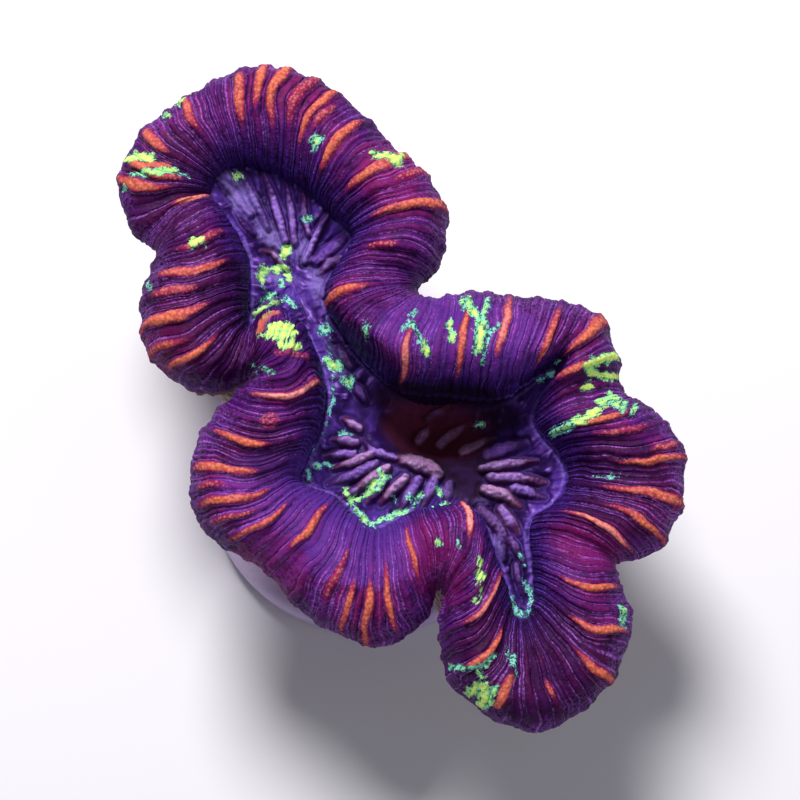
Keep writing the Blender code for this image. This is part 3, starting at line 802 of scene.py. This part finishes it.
# Paddles on the floor as read on the plane: points from the wall inwards, half width, height, tone
# (0 violet, 0.5 lavender, 1 pinkish tan)
paddles = (
    ((-3.5, 0.8, -1.1, -0.7), 0.55, 1.3, 0.8), ((-5.0, -2.3, -1.7, -2.6), 0.55, 1.3, 0.7),
    ((-6.0, -4.7, -2.1, -4.3), 0.55, 1.2, 0.4), ((-4.9, -6.4, -2.2, -5.6, 0.5, -4.4), 0.55, 1.3, 0.85),
    ((-5.6, -8.6, -2.0, -7.5, 1.1, -5.8), 0.65, 1.2, 0.25), ((-2.2, -9.8, 2.8, -6.4), 0.6, 1.3, 0.95),
    ((-0.1, -11.3, 2.3, -8.2), 0.7, 1.2, 0.5), ((1.8, -11.4, 5.4, -7.9), 0.6, 1.3, 0.9),
    ((4.3, -12.4, 7.2, -8.2), 0.65, 1.2, 0.3), ((7.7, -12.0, 9.4, -8.3), 0.7, 1.2, 0.3),
    ((11.0, -11.4, 11.6, -8.8), 0.7, 1.0, 0.3), ((-3.6, -10.6, -1.6, -9.6), 0.5, 0.9, 0.6),
    ((-0.6, -2.4, 0.5, -3.8, 3.8, -5.0), 0.5, 1.2, 0.4),
    ((3.6, -4.9, 6.0, -5.3, 8.8, -6.4, 9.9, -7.2), 0.85, 1.6, 1.0),
    ((8.8, -0.4, 7.2, -2.5), 0.6, 1.6, 0.8), ((14.4, 0.2, 10.2, -3.2), 0.6, 1.8, 0.85),
    ((11.2, 2.6, 8.6, 0.6), 0.5, 1.4, 0.7), ((17.8, -2.0, 13.5, -4.1), 0.6, 1.5, 0.9),
    ((24.1, -5.4, 20.0, -5.8, 16.3, -6.5), 0.55, 1.3, 0.75),
    ((25.3, -8.5, 21.0, -7.7, 17.4, -7.8), 0.6, 1.3, 0.7),
    ((25.1, -10.6, 20.7, -9.4), 0.65, 1.2, 0.35), ((21.7, -11.9, 19.0, -10.1, 16.7, -9.6), 0.7, 1.5, 1.0),
    ((20.4, -17.8, 18.2, -14.6, 16.1, -12.5), 0.65, 1.3, 0.55),
    ((21.4, -15.8, 19.0, -12.5), 0.75, 1.1, 0.6),
    ((22.4, -3.0, 19.6, -3.4, 17.0, -4.5), 0.85, 1.1, 0.1), ((21.8, -20.0, 20.4, -16.6), 0.5, 1.1, 0.4),
    ((19.2, -19.6, 18.9, -16.4), 0.6, 1.0, 0.2), ((21.6, -24.4, 21.0, -20.4), 0.45, 0.9, 0.3),
    ((-21.4, 36.4, -19.4, 34.4, -17.2, 31.4), 0.5, 0.8, 0.1),
    ((-18.6, 37.8, -16.6, 33.6, -14.8, 29.4), 0.5, 0.9, 0.15),
    ((-15.6, 38.2, -13.6, 33.0, -12.1, 27.4), 0.55, 1.2, 0.35),
    ((-12.3, 37.0, -11.3, 32.4, -10.7, 27.2), 0.5, 1.1, 0.3),
    ((-9.6, 35.4, -9.4, 31.8, -8.6, 28.4), 0.5, 1.0, 0.45),
    ((-5.2, 32.6, -7.4, 28.6, -9.2, 24.2), 0.45, 1.2, 0.4),
    ((-3.0, 28.4, -5.2, 26.4, -7.6, 24.4), 0.75, 1.3, 0.05), ((-19.6, 32.0, -16.8, 28.6), 0.4, 0.7, 0.1),
    ((-7.2, 22.4, -5.6, 24.0, -3.7, 24.6), 0.55, 1.5, 0.6), ((-6.6, 19.2, -4.3, 22.5), 0.7, 1.3, 0.2),
    ((-15.6, 26.2, -14.0, 25.6, -11.9, 23.2), 0.4, 1.0, 0.8), ((-16.5, 16.5, -13.5, 18.4), 0.5, 1.0, 0.5),
    ((-5.6, 15.8, -3.8, 12.6), 0.5, 0.9, 0.3),
    ((-4.4, 11.6, -2.6, 8.6), 0.5, 0.9, 0.45), ((-2.4, 6.4, -0.6, 3.8), 0.6, 1.0, 0.2),
)
# Pale haze on the floor, in the way of the crusts: how pale in place of how yellow
hazes = (
    (-20.4, 36.6, 3.4, 1.6, -45, 0.6), (-9.6, 26.4, 2.8, 1.6, -70, 0.9), (-7.6, 21.0, 1.8, 3.2, 10, 1.0),
    (-14.6, 28.6, 4.6, 1.6, -50, 0.8), (-18.4, 34.0, 4.0, 2.4, -50, 0.8),
    (-14.2, 22.4, 2.6, 1.4, -40, 0.7), (-5.4, 11.6, 4.2, 1.0, -58, 0.9), (-4.0, 7.0, 2.4, 1.2, -50, 0.8),
    (15.6, -11.0, 1.6, 1.0, -20, 0.9), (18.6, -17.6, 1.2, 2.2, 20, 0.6), (11.0, -9.6, 4.6, 0.8, -18, 0.6),
)


def footGap(x, y):                              # distance to the valley's edge and the nearest column
    ring = foot[::4, :2]
    best = np.empty(x.shape)
    near = np.empty(x.shape, dtype=int)
    for start in range(0, x.size, 4000):
        part = slice(start, start + 4000)
        away = (x[part, None] - ring[None, :, 0]) ** 2 + (y[part, None] - ring[None, :, 1]) ** 2
        near[part] = np.argmin(away, axis=1)
        best[part] = np.sqrt(away[np.arange(len(near[part])), near[part]])
    return best, near * 4


def insideFoot(x, y):
    ring = foot[::8, :2]
    after = np.roll(ring, -1, 0)
    hit = np.zeros(x.shape, dtype=bool)
    for (x0, y0), (x1, y1) in zip(ring, after):
        if y0 != y1:
            cross = ((y0 > y) != (y1 > y)) & (x < x0 + (x1 - x0) * (y - y0) / (y1 - y0))
            hit ^= cross
    return hit


def paddleField(x, y):                          # the paddles' height and tone, and the gap to the next one
    rise = np.zeros(x.shape)
    tint = np.zeros(x.shape)
    near = np.full(x.shape, 9.0)
    for line, half, height, shade in paddles:
        away, share = lineGap(x, y, line)
        girth = half * valley["paddleGirth"] * (0.5 + 0.5 * np.sin(math.pi * (0.08 + 0.66 * share)))
        mine = height * (0.25 + 0.75 * step(share, -0.1, 0.6))
        mine = mine * np.clip(1 - (away / girth) ** 2, 0, 1) ** 0.9
        tint = np.where(mine > rise, shade, tint)
        rise = np.maximum(rise, mine)
        near = np.minimum(near, away - girth)
    return rise, tint, near


def floorHeights(x, y, gap, column, inside):
    depth = np.where(inside, gap, -gap)
    points = np.stack([x, y, np.zeros_like(x)], -1)
    wobble = lumps(points, 2.4, 21.3)
    ripple = lumps(points, 0.8, 5.5)
    pit = pitShare(x, y)
    base = wall["footHeight"] - valley["drop"] * (0.05 + 0.95 * step(depth, -0.3, 3.4))
    base -= valley["pitDepth"] * pit
    read = asSeen(np.stack([x, y, base], -1))
    bentX = read[..., 0] + wobble * 0.12 + ripple * 0.07
    bentY = read[..., 1] + ripple * 0.10
    rise, tint, near = paddleField(bentX, bentY)

    # low ridges that carry the wall's folds a little way onto the floor
    footRow = int(np.argmin(abs(wallAcross.mean(1) + 1.0)))
    turn = wallTurn[footRow, column % wall["columns"]]
    jumpY, jumpX = np.gradient(turn, valley["spacing"])
    jump = np.clip(np.hypot(jumpX, jumpY), 0, 12)
    for _ in range(10):
        jump = sum((np.roll(jump, way, axis) for way, axis in ((1, 0), (-1, 0), (1, 1), (-1, 1))), jump) / 5
    pitch = 1 / (jump + 1e-6)
    ridge = np.zeros(x.shape)
    for split, low, high in valley["bands"]:
        side = np.mod(turn * split + 0.16 * wobble, 1.0) * 2 - 1
        share = step(pitch, low * 0.85, low * 1.15) * (1 - step(pitch, high * 0.85, high * 1.15))
        ridge = np.maximum(ridge, np.clip(1 - side ** 2, 0, 1) ** 0.7 * share)
    nearReach, farReach = valley["ridgeReach"]
    reach = (nearReach + (farReach - nearReach) * step(y, 2.0, 12.0)) * (1 + 0.4 * wobble)
    ridge *= (1 - step(depth, reach * 0.5, reach)) * step(depth, -1.2, 0.2) * (0.75 + 0.35 * ripple)
    ridge *= step(near, -0.05, 0.35)

    trench = valley["trench"] * (1 - step(near, 0.1, 1.1)) * step(near, -0.5, 0.05)
    height = base + rise * (1 - 0.15 * ripple) * (1 - 0.22 * lumps(points, 0.5, 11.0)) - trench
    height += ridge * valley["ridgeHeight"] * (1 + 0.3 * lumps(points, 1.3, 2.0))
    height += wobble * 0.16 + ripple * 0.07 * (1 - 0.6 * step(rise, 0.1, 0.6))
    return height, {"rise": np.clip(rise / 1.2, 0, 1), "tint": tint, "ridge": ridge,
                    "deep": pit, "shore": depth, "near": near}


def makeFloor():
    low = foot[:, :2].min(0) - 2.0
    high = foot[:, :2].max(0) + 2.0
    columns, rows = [int((high[i] - low[i]) / valley["spacing"]) for i in (0, 1)]
    x, y = np.meshgrid(np.linspace(low[0], high[0], columns + 1), np.linspace(low[1], high[1], rows + 1))
    gap, column = [part.reshape(x.shape) for part in footGap(x.ravel(), y.ravel())]
    inside = insideFoot(x.ravel(), y.ravel()).reshape(x.shape)
    height, fields = floorHeights(x, y, gap, column, inside)
    points = np.stack([x, y, height], -1)
    seen = asSeen(points)
    fields["bloom"], fields["lime"] = patchField(seen, blooms, crustLines)
    fields["haze"] = patchField(seen, hazes)[0]
    fields["shade"] = patchField(seen, floorShadows)[0]
    piece = bendGrid("valleyFloor", points, fields)
    spare = np.where(inside, gap, -gap).ravel() <= -valley["tuck"]
    bpy.ops.object.mode_set(mode="EDIT")
    bpy.ops.mesh.select_mode(type="VERT")
    bpy.ops.mesh.select_all(action="DESELECT")
    bpy.ops.object.mode_set(mode="OBJECT")
    piece.data.vertices.foreach_set("select", spare)
    bpy.ops.object.mode_set(mode="EDIT")
    bpy.ops.mesh.delete(type="VERT")
    return settle(piece)


valleyPiece = makeFloor()
print("valley floor:", len(valleyPiece.data.polygons) * 2, "triangles")

# The stony stalk

stalk = {
    "every": 4, "rows": 64, "discTop": 6.0,
    "rings": ((0.70, 30.0), (0.66, 28.4), (0.42, 26.0)),        # share of crest to skirt, height
    "lower": ((0.64, 15.5, 0.012), (0.40, 6.1, 0.020)),         # size, height, softening
    "places": (0.0, 0.12, 0.34, 0.72, 1.0),                     # how far down each ring lies
    "costaDepth": 0.55, "sink": 0.15,
}


def stalkPoints(crestHere, skirtHere):
    keys = []
    for share, height in stalk["rings"]:
        row = crestHere + (skirtHere - crestHere) * share
        row[:, 2] = height
        keys.append(row)
    flat = keys[-1][:, :2]
    for size, height, soft in stalk["lower"]:
        ring = softLoop(flat, soft * len(flat)) * size
        keys.append(np.column_stack([ring, np.full(len(ring), height)]))
    keys = np.array(keys)
    places = np.array(stalk["places"])
    slopes = np.gradient(keys, places, axis=0)
    rows = []
    for t in np.linspace(0, 1, stalk["rows"] + 1):
        k = min(np.searchsorted(places, t, side="right") - 1, len(places) - 2)
        span = places[k + 1] - places[k]
        s = (t - places[k]) / span
        rows.append((2 * s ** 3 - 3 * s ** 2 + 1) * keys[k] + (s ** 3 - 2 * s ** 2 + s) * span * slopes[k]
                    + (3 * s ** 2 - 2 * s ** 3) * keys[k + 1] + (s ** 3 - s ** 2) * span * slopes[k + 1])
    points = np.array(rows)
    points[..., 2] = np.clip(points[..., 2], stalk["discTop"] + 0.02, stalk["rings"][0][1])
    return points


def makeStalk():
    points = stalkPoints(crest[::stalk["every"]], skirt[::stalk["every"]])
    down = np.broadcast_to(np.linspace(0, 1, len(points))[:, None], points.shape[:2])
    normal = sheetNormals(points)
    turn = foldTurn(crestReach[:-1:stalk["every"]] + 0.4 * lumps(points[20], 5.0, 3.0))[None, :]
    turn = np.broadcast_to(turn, down.shape)
    aside = (turn - np.floor(turn)) * 2 - 1
    local = np.linalg.norm(np.roll(points, -1, 1) - np.roll(points, 1, 1), axis=2) / 2
    pitch = local * points.shape[1] / len(folds)
    costa = np.clip(1 - abs(aside / 0.72) ** 2, 0, 1) ** 0.8
    depth = np.clip(pitch * 0.5, 0, stalk["costaDepth"]) * (0.55 + 0.45 * lumps(points, 2.5, 14.2))
    growth = np.sin(points[..., 2] * 1.9 + lumps(points, 6.0, 1.3) * 2.5)
    shift = depth * (costa - 0.5) + growth * 0.18
    shift = shift + lumps(points, 5.0, 8.8) * 0.45 + lumps(points, 1.1, 2.2) * 0.12
    shift *= step(down, 0.02, 0.2)
    surface = points + normal * shift[..., None]
    bottom = stalk["discTop"] - stalk["sink"]
    surface[-1, :, 2] = bottom
    surface[..., 2] = np.maximum(surface[..., 2], bottom)
    lap = np.zeros((len(points), points.shape[1] + 1))
    lap[:, -1] = len(folds)
    maps = np.stack([closeLoop(turn) + lap, closeLoop(down) * 30], -1)
    fields = {"costa": closeLoop(costa), "down": closeLoop(down)}
    return makeSheet("stonyStalk", closeLoop(surface), maps, fields)


stonyStalk = makeStalk()
print("stalk:", len(stonyStalk.data.polygons) * 2, "triangles")

# The disc

disc = {
    "radius": 25.4, "height": 6.0, "rounding": 1.4, "roundingSteps": 7, "sides": 180,
    "insets": (0.4, 2.0, 4.0, 5.0, 5.0),        # rings in the flat faces, from the edge inwards
}


def makeDisc():
    deselectAll()
    bpy.ops.mesh.primitive_cylinder_add(
        vertices=disc["sides"], radius=disc["radius"] * mm,
        depth=disc["height"] * mm, location=(0, 0, disc["height"] / 2 * mm))
    piece = bpy.context.object
    piece.name = "ceramicDisc"
    piece.data.name = "ceramicDisc"
    bpy.ops.object.transform_apply(location=True, rotation=True, scale=True)
    rounding = piece.modifiers.new("rim", "BEVEL")
    rounding.width = disc["rounding"] * mm
    rounding.segments = disc["roundingSteps"]
    rounding.limit_method = "ANGLE"
    rounding.angle_limit = math.radians(40)
    bpy.ops.object.modifier_apply(modifier="rim")
    bpy.ops.object.mode_set(mode="EDIT")
    bpy.ops.mesh.select_all(action="DESELECT")
    bpy.ops.mesh.select_mode(type="FACE")
    bpy.ops.object.mode_set(mode="OBJECT")
    for face in piece.data.polygons:
        face.select = abs(face.normal.z) > 0.99 and len(face.vertices) > 20
    bpy.ops.object.mode_set(mode="EDIT")
    for width in disc["insets"]:
        bpy.ops.mesh.inset(thickness=width * mm, depth=0)
    return settle(piece)


ceramicDisc = makeDisc()
print("disc made")

# Finishes


def foldSides(paint):                           # signed place across the fold: -1 and 1 in the grooves
    place = paint.node("ShaderNodeUVMap", {"uv_map": "ribMap"})
    turn, along = paint.axis(place, 0), paint.axis(place, 1)
    return turn, along, (turn % 1.0) * 2.0 - 1.0


def threadLine(paint, side, spot, width):       # 1 on a thin line that runs along the fold
    return 1.0 - paint.ramp(paint.size(side - spot), width * 0.3, width)


# The valley's edge has a pale rim, but not on its upper arc: it fades out between these, in metres along y
rimEnds = (0.033, 0.026)
# Green crusts: where they begin, where teal turns to mint and mint to yellow-green, and their colours
wallCrust = {
    "edge": (0.02, 0.10), "mint": (0.35, 0.75), "heart": (0.75, 1.35),
    "tones": (tone(112, 190, 168), tone(140, 212, 132), tone(202, 224, 112), tone(36, 30, 66)),
}
floorCrust = {
    "edge": (0.10, 0.20), "mint": (0.4, 0.9), "heart": (0.85, 1.6),
    "tones": (tone(116, 192, 186), tone(140, 214, 140), tone(192, 226, 116), tone(30, 34, 84)),
}


def layCrust(paint, body, ragged, ripe, grain, look):
    teal, mint, yellow, gap = look["tones"]
    crust = paint.ramp(ragged, *look["edge"])
    heart = paint.ramp(ripe, *look["heart"])
    gaps = paint.ramp(grain, 0.50, 0.57) * (1.0 - heart * 0.75) * 0.9
    green = paint.coats(teal, (paint.ramp(ripe, *look["mint"]), mint), (heart, yellow), (gaps, gap))
    return paint.mix(crust, body, green), crust


def stripeTone(paint, kind, heartShare, beads, broadNoise):     # red, orange, pink or pale, with pale beads
    # the middle is lighter and the sides darker maroon, partly the stripe's own colour and partly painted
    # shade on the sides of the roll; the beads are paler on their tops and darker at their rims, partly
    # their own colour and partly painted highlight and painted shade
    warmth = paint.ramp(kind, 0.0, 0.45)
    edge = paint.mix(warmth, tone(116, 18, 74), tone(140, 32, 70))
    heart = paint.mix(warmth, tone(144, 46, 76), tone(186, 92, 66))
    heart = paint.coats(heart, (paint.ramp(broadNoise, 0.42, 0.62) * 0.7, tone(170, 74, 82)),
                        (paint.ramp(kind, 0.5, 1.0), tone(222, 140, 136)))
    return paint.coats(edge, (heartShare, heart), (paint.ramp(beads, 0.55, 0.20) * 0.4, tone(214, 138, 106)),
                       (paint.ramp(beads, 0.55, 0.80) * 0.5, edge))


def wallFinish():
    paint = Paint("wallFlesh")
    place, broadNoise, midNoise, fineNoise = paint.grains((170, 2.0), (620, 3.0, 0.6), (1700, 3.0, 0.6))
    turn, along, side = foldSides(paint)
    marks, broad, maroon, halo = paint.attributes("across", "broad", "maroon", "halo")
    lilac, flush, dusk, shade = paint.attributes("lilac", "flush", "dusk", "shade")
    stripe, kind, girth = paint.attributes("stripe", "kind", "girth")
    blush, blushKind, bloom, lime = paint.attributes("blush", "blushKind", "bloom", "lime")
    mid, fine = midNoise - 0.5, fineNoise - 0.5
    out = paint.size(side)
    toFoot = paint.ramp(marks, -0.25, -0.95)
    toSkirt = paint.ramp(marks + (broadNoise - 0.5) * 0.9, 0.35, 0.85)

    # threads: one off the middle of each narrow fold, one on each shoulder of a broad one, some in seams
    dots = paint.cells(place, 2200.0, 0.8)
    bent = side + mid * 0.5
    count = paint.node("ShaderNodeMath", {"operation": "FLOOR"}, {0: turn})
    foldPick = paint.node("ShaderNodeTexWhiteNoise", {"noise_dimensions": "1D"}, {"W": count})
    narrowLine = threadLine(paint, bent, (foldPick - 0.5) * 0.9, 0.27) * (1.0 - broad)
    shoulderLine = threadLine(paint, paint.size(bent), 0.80, 0.14) * broad
    seamLine = threadLine(paint, paint.size(bent), 0.95, 0.22) * paint.ramp(foldPick, 0.45, 0.65)
    threads = paint.larger(shoulderLine, seamLine * 0.8)
    threads = paint.larger(narrowLine * paint.ramp(foldPick, 0.15, 0.4), threads)
    threads = threads * paint.ramp(midNoise, 0.30, 0.52) * (0.3 + 0.7 * paint.ramp(broadNoise, 0.36, 0.56))
    threads = threads * (0.35 + 0.65 * paint.ramp(dots, 0.62, 0.30))

    # purple flesh, maroon on the broad folds and beside the stripes; the grooves and flanks are darker than
    # the crowns as painted shade in the creases, and toward the foot all of it is darker as painted shade
    # and bluer in colour
    grooveShade = paint.mix(toFoot, tone(48, 8, 70), tone(24, 7, 50))
    flank = paint.mix(toFoot, tone(56, 9, 78), tone(34, 12, 76))
    crown = paint.mix(toFoot, tone(84, 24, 116), tone(56, 28, 116))
    redShare = maroon * paint.ramp(out, 0.98, 0.45) * paint.ramp(broadNoise, 0.28, 0.50)
    haloShare = paint.ramp(halo + (broadNoise - 0.5) * 0.2, 0.0, 0.45) * paint.ramp(out, 1.05, 0.6)
    body = paint.coats(
        grooveShade,
        (paint.ramp(out, 1.0, 0.65), flank),
        (paint.ramp(out, 0.60, 0.10) * (0.35 + 0.65 * midNoise), crown),
        (redShare * (1.0 - toFoot) * (1.0 - toSkirt * 0.6) * 0.8, tone(96, 14, 70)),
        (haloShare * 0.75, tone(120, 16, 76)),
        (paint.ramp(midNoise, 0.56, 0.40) * 0.45, tone(38, 6, 52)),
        (paint.ramp(dots, 0.28, 0.10) * 0.22, tone(142, 60, 152)),
        (paint.ramp(lilac, 0.0, 1.5) * 0.3, tone(108, 58, 172)),
        (paint.ramp(flush, -0.8, 1.5) * 0.4, tone(132, 20, 88)),
        # painted shade: the wall darker and redder in the dusk patches
        (paint.ramp(dusk, -0.5, 1.3) * 0.6, tone(36, 1, 30)),
        (threads * 0.80, paint.mix(toFoot, tone(164, 98, 198), tone(106, 72, 180))),
    )

    # a net of pale threads, close near the skirt and thin elsewhere
    drift = paint.node("ShaderNodeTexNoise", None, {"Vector": place, "Scale": 900.0, "Detail": 2.0}, "Color")
    drift = paint.node("ShaderNodeVectorMath", {"operation": "SCALE"}, {0: drift, "Scale": 0.0007})
    warped = paint.node("ShaderNodeVectorMath", {"operation": "ADD"}, {0: place, 1: drift})
    net = paint.cells(warped, 1250.0, 1.0, "DISTANCE_TO_EDGE")
    netLine = (1.0 - paint.ramp(net, 0.02, 0.14)) * paint.ramp(broadNoise, 0.35, 0.6)
    netShare = netLine * (0.15 + 0.85 * toSkirt) * (1.0 - toFoot * 0.7)

    # the foot's pale edge, where the wall meets the floor; the upper arc of the valley has none
    rim = threadLine(paint, marks + mid * 0.02, -1.0, 0.012) * paint.ramp(paint.axis(place, 1), *rimEnds)

    # coloured stripes on the broad folds, and blushes that lie across them
    wide = out * girth
    swell = stripe - wide * wide + mid * 0.45
    glowShare = paint.ramp(swell, -0.25, 0.30) * broad
    heartShare = paint.ramp(swell, 0.10, 0.70)
    beads = paint.cells(place, 2100.0)
    blushTone = paint.mix(paint.ramp(blushKind, 0.3, 0.75), tone(132, 30, 84), tone(206, 100, 78))
    # paler bead tops on the blushes: partly their colour, partly painted highlight
    blushTone = paint.mix(paint.ramp(beads, 0.55, 0.2) * 0.4, blushTone, tone(232, 150, 128))
    body = paint.coats(
        body,
        (netShare * 0.45, tone(122, 64, 164)),
        (paint.ramp(net, 0.22, 0.42) * toSkirt * 0.55, tone(44, 12, 72)),
        (rim * 0.6, tone(128, 96, 196)),
        (glowShare, stripeTone(paint, kind, heartShare, beads, broadNoise)),
        (paint.ramp(blush + mid * 0.6, -0.1, 0.35) * 0.75, blushTone),
    )

    # crusts with ragged edges that keep to the folds' tops
    stretched = paint.node("ShaderNodeCombineXYZ", None, {0: turn * 2.6, 1: along * 0.9})
    streaks = paint.speckle(stretched, 1.0, 3.0, 0.65)
    ragged = bloom + mid * 2.2 + (streaks - 0.5) * 1.4 + fine * 1.3 + (lime - 0.4) * 0.15
    body, crust = layCrust(paint, body, ragged, ragged + lime * 0.9 - out * 0.5, fineNoise, wallCrust)
    body = paint.mix(paint.ramp(shade, 0.0, 1.5) * 0.9, body, tone(18, 5, 20))

    glow = paint.mix(paint.larger(glowShare * heartShare, crust), paint.mix(0.65, body, tone(0, 0, 0)), body)
    bumps = fineNoise * 0.3 + threads * 0.4 + netShare * 0.5 - beads * 0.6 * broad - dots * 0.5 + crust * 0.4
    return paint.finish(Base_Color=body, Roughness=paint.ramp(fineNoise, 0.3, 0.7, 0.48, 0.68),
                        Normal=paint.bump(bumps, 0.6, 0.00018), Emission_Color=glow, Emission_Strength=0.18,
                        IOR=1.36, Subsurface_Weight=0.06, Subsurface_Scale=0.0006, Specular_IOR_Level=0.14)


def valleyFinish():
    paint = Paint("valleyFlesh")
    place, broadNoise, midNoise, fineNoise = paint.grains((240, 2.0), (650, 3.0, 0.6), (1700, 3.0, 0.6))
    rise, tint, ridge, deep = paint.attributes("rise", "tint", "ridge", "deep")
    haze, shade, shore, near = paint.attributes("haze", "shade", "shore", "near")
    bloom, lime = paint.attributes("bloom", "lime")
    mid, fine = midNoise - 0.5, fineNoise - 0.5

    # paddles, darker near the wall; their tops lighter than their sides, partly their own violet, lavender
    # and tan and partly a painted highlight
    flank = paint.mix(paint.ramp(tint, 0.2, 0.9), tone(50, 20, 78), tone(72, 30, 66))
    crown = paint.mix(paint.ramp(tint, 0.0, 0.5), tone(86, 48, 136), tone(134, 98, 182))
    crown = paint.coats(crown, (paint.ramp(tint, 0.5, 1.0), tone(158, 114, 160)),
                        (paint.ramp(fineNoise, 0.50, 0.62) * (0.05 + 0.55 * tint), tone(182, 156, 206)))
    inward = paint.ramp(shore + mid * 1.2, 0.3, 3.2)
    paddle = paint.mix(paint.ramp(rise + mid * 0.6, 0.40, 1.0) * (0.15 + 0.85 * inward), flank, crown)

    veins = paint.size(broadNoise - 0.5)
    # painted shade in the trench round each paddle
    troughShade = paint.ramp(paint.size(near - 0.30), 0.50, 0.05) * paint.ramp(rise, 0.3, 0.05)
    veil = paint.ramp(haze + mid * 2.2 + fine * 0.8, -0.1, 1.3)
    rim = threadLine(paint, shore + mid * 0.4, 0.05, 0.35) * paint.ramp(paint.axis(place, 1), *rimEnds)
    gloom = paint.mix(paint.ramp(deep, 0.10, 0.70), tone(28, 8, 26), tone(82, 28, 48))
    body = paint.coats(
        tone(40, 16, 76),
        (paint.ramp(broadNoise, 0.35, 0.65), tone(74, 42, 134)),
        ((1.0 - paint.ramp(veins, 0.0, 0.05)) * 0.2, tone(104, 66, 170)),
        (paint.ramp(ridge + mid * 0.3, 0.45, 0.95), tone(96, 58, 146)),
        # painted highlight along the ridges' crests
        (paint.ramp(ridge + mid * 0.4, 0.84, 1.02) * 0.6, tone(156, 122, 208)),
        (paint.ramp(rise, 0.06, 0.30), paddle),
        (troughShade * 0.65, tone(20, 6, 40)),
        (veil * 0.5, tone(140, 116, 194)),
        (rim * 0.35, tone(128, 96, 196)),
        (paint.ramp(deep, 0.25, 1.0) * (0.75 - 0.50 * rise), tone(96, 36, 54)),
        (paint.ramp(shade, -0.3, 1.2) * (0.88 - 0.5 * rise), gloom),
    )
    ragged = bloom + mid * 2.8 + fine * 1.8
    body, crust = layCrust(paint, body, ragged, ragged + lime * 0.8, fineNoise, floorCrust)
    glow = paint.mix(paint.larger(crust, veil * 0.25), paint.mix(0.7, body, tone(0, 0, 0)), body)
    wet = paint.ramp(shade, -0.3, 1.2, 0.50, 0.95)              # the shaded part has no gloss
    bumps = midNoise * 0.4 + fineNoise * 0.4 + crust * 0.4
    return paint.finish(Base_Color=body, Roughness=wet, Normal=paint.bump(bumps, 0.6, 0.0002),
                        Emission_Color=glow, Emission_Strength=0.2, IOR=1.36, Subsurface_Weight=0.08,
                        Subsurface_Scale=0.0008, Specular_IOR_Level=0.24)


def stalkFinish():
    paint = Paint("stalkStone")
    place, broadNoise, midNoise, fineNoise = paint.grains((130, 3.0, 0.6), (480, 3.0, 0.6), (1600, 3.0, 0.6))
    costa, down = paint.attributes("costa", "down")
    pink = paint.mix(paint.ramp(fineNoise, 0.4, 0.65), tone(104, 62, 94), tone(140, 96, 126))
    body = paint.coats(
        tone(128, 104, 104),
        (paint.ramp(costa + (midNoise - 0.5) * 0.7, 0.1, 0.9), tone(182, 164, 154)),
        (paint.ramp(broadNoise, 0.47, 0.56), pink),
        (paint.ramp(midNoise, 0.58, 0.70) * 0.6, tone(84, 66, 52)),
        (paint.ramp(down + (broadNoise - 0.5) * 0.3, 0.26, 0.08) * 0.7, tone(70, 40, 66)),
    )
    bumps = midNoise * 0.7 + fineNoise * 0.5
    return paint.finish(Base_Color=body, Roughness=0.82, Normal=paint.bump(bumps, 0.7, 0.0003))


def discFinish():
    paint = Paint("discCeramic")
    place, broadNoise, midNoise, fineNoise = paint.grains((60, 4.0, 0.6), (330, 4.0, 0.65), (1900, 2.0))
    body = paint.coats(
        tone(206, 188, 224),
        (paint.ramp(broadNoise, 0.35, 0.7), tone(184, 160, 208)),
        (paint.ramp(midNoise, 0.60, 0.72) * 0.5, tone(168, 128, 184)),
        (paint.ramp(fineNoise, 0.60, 0.72) * 0.25, tone(150, 120, 150)),
    )
    bumps = fineNoise * 0.5 + midNoise * 0.5
    return paint.finish(Base_Color=body, Roughness=paint.ramp(midNoise, 0.3, 0.7, 0.55, 0.8),
                        Normal=paint.bump(bumps, 0.35, 0.0002))


fleshFinish = wallFinish()
for piece in fleshWalls:
    piece.data.materials.append(fleshFinish)
valleyPiece.data.materials.append(valleyFinish())
stonyStalk.data.materials.append(stalkFinish())
ceramicDisc.data.materials.append(discFinish())
print("finishes are on")

# The pieces go onto the root body, in place of the CAD parts

for piece in (*fleshWalls, valleyPiece, stonyStalk):
    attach(piece, "root")
    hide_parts("coral")
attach(ceramicDisc, "root")
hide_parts("frag_disc")
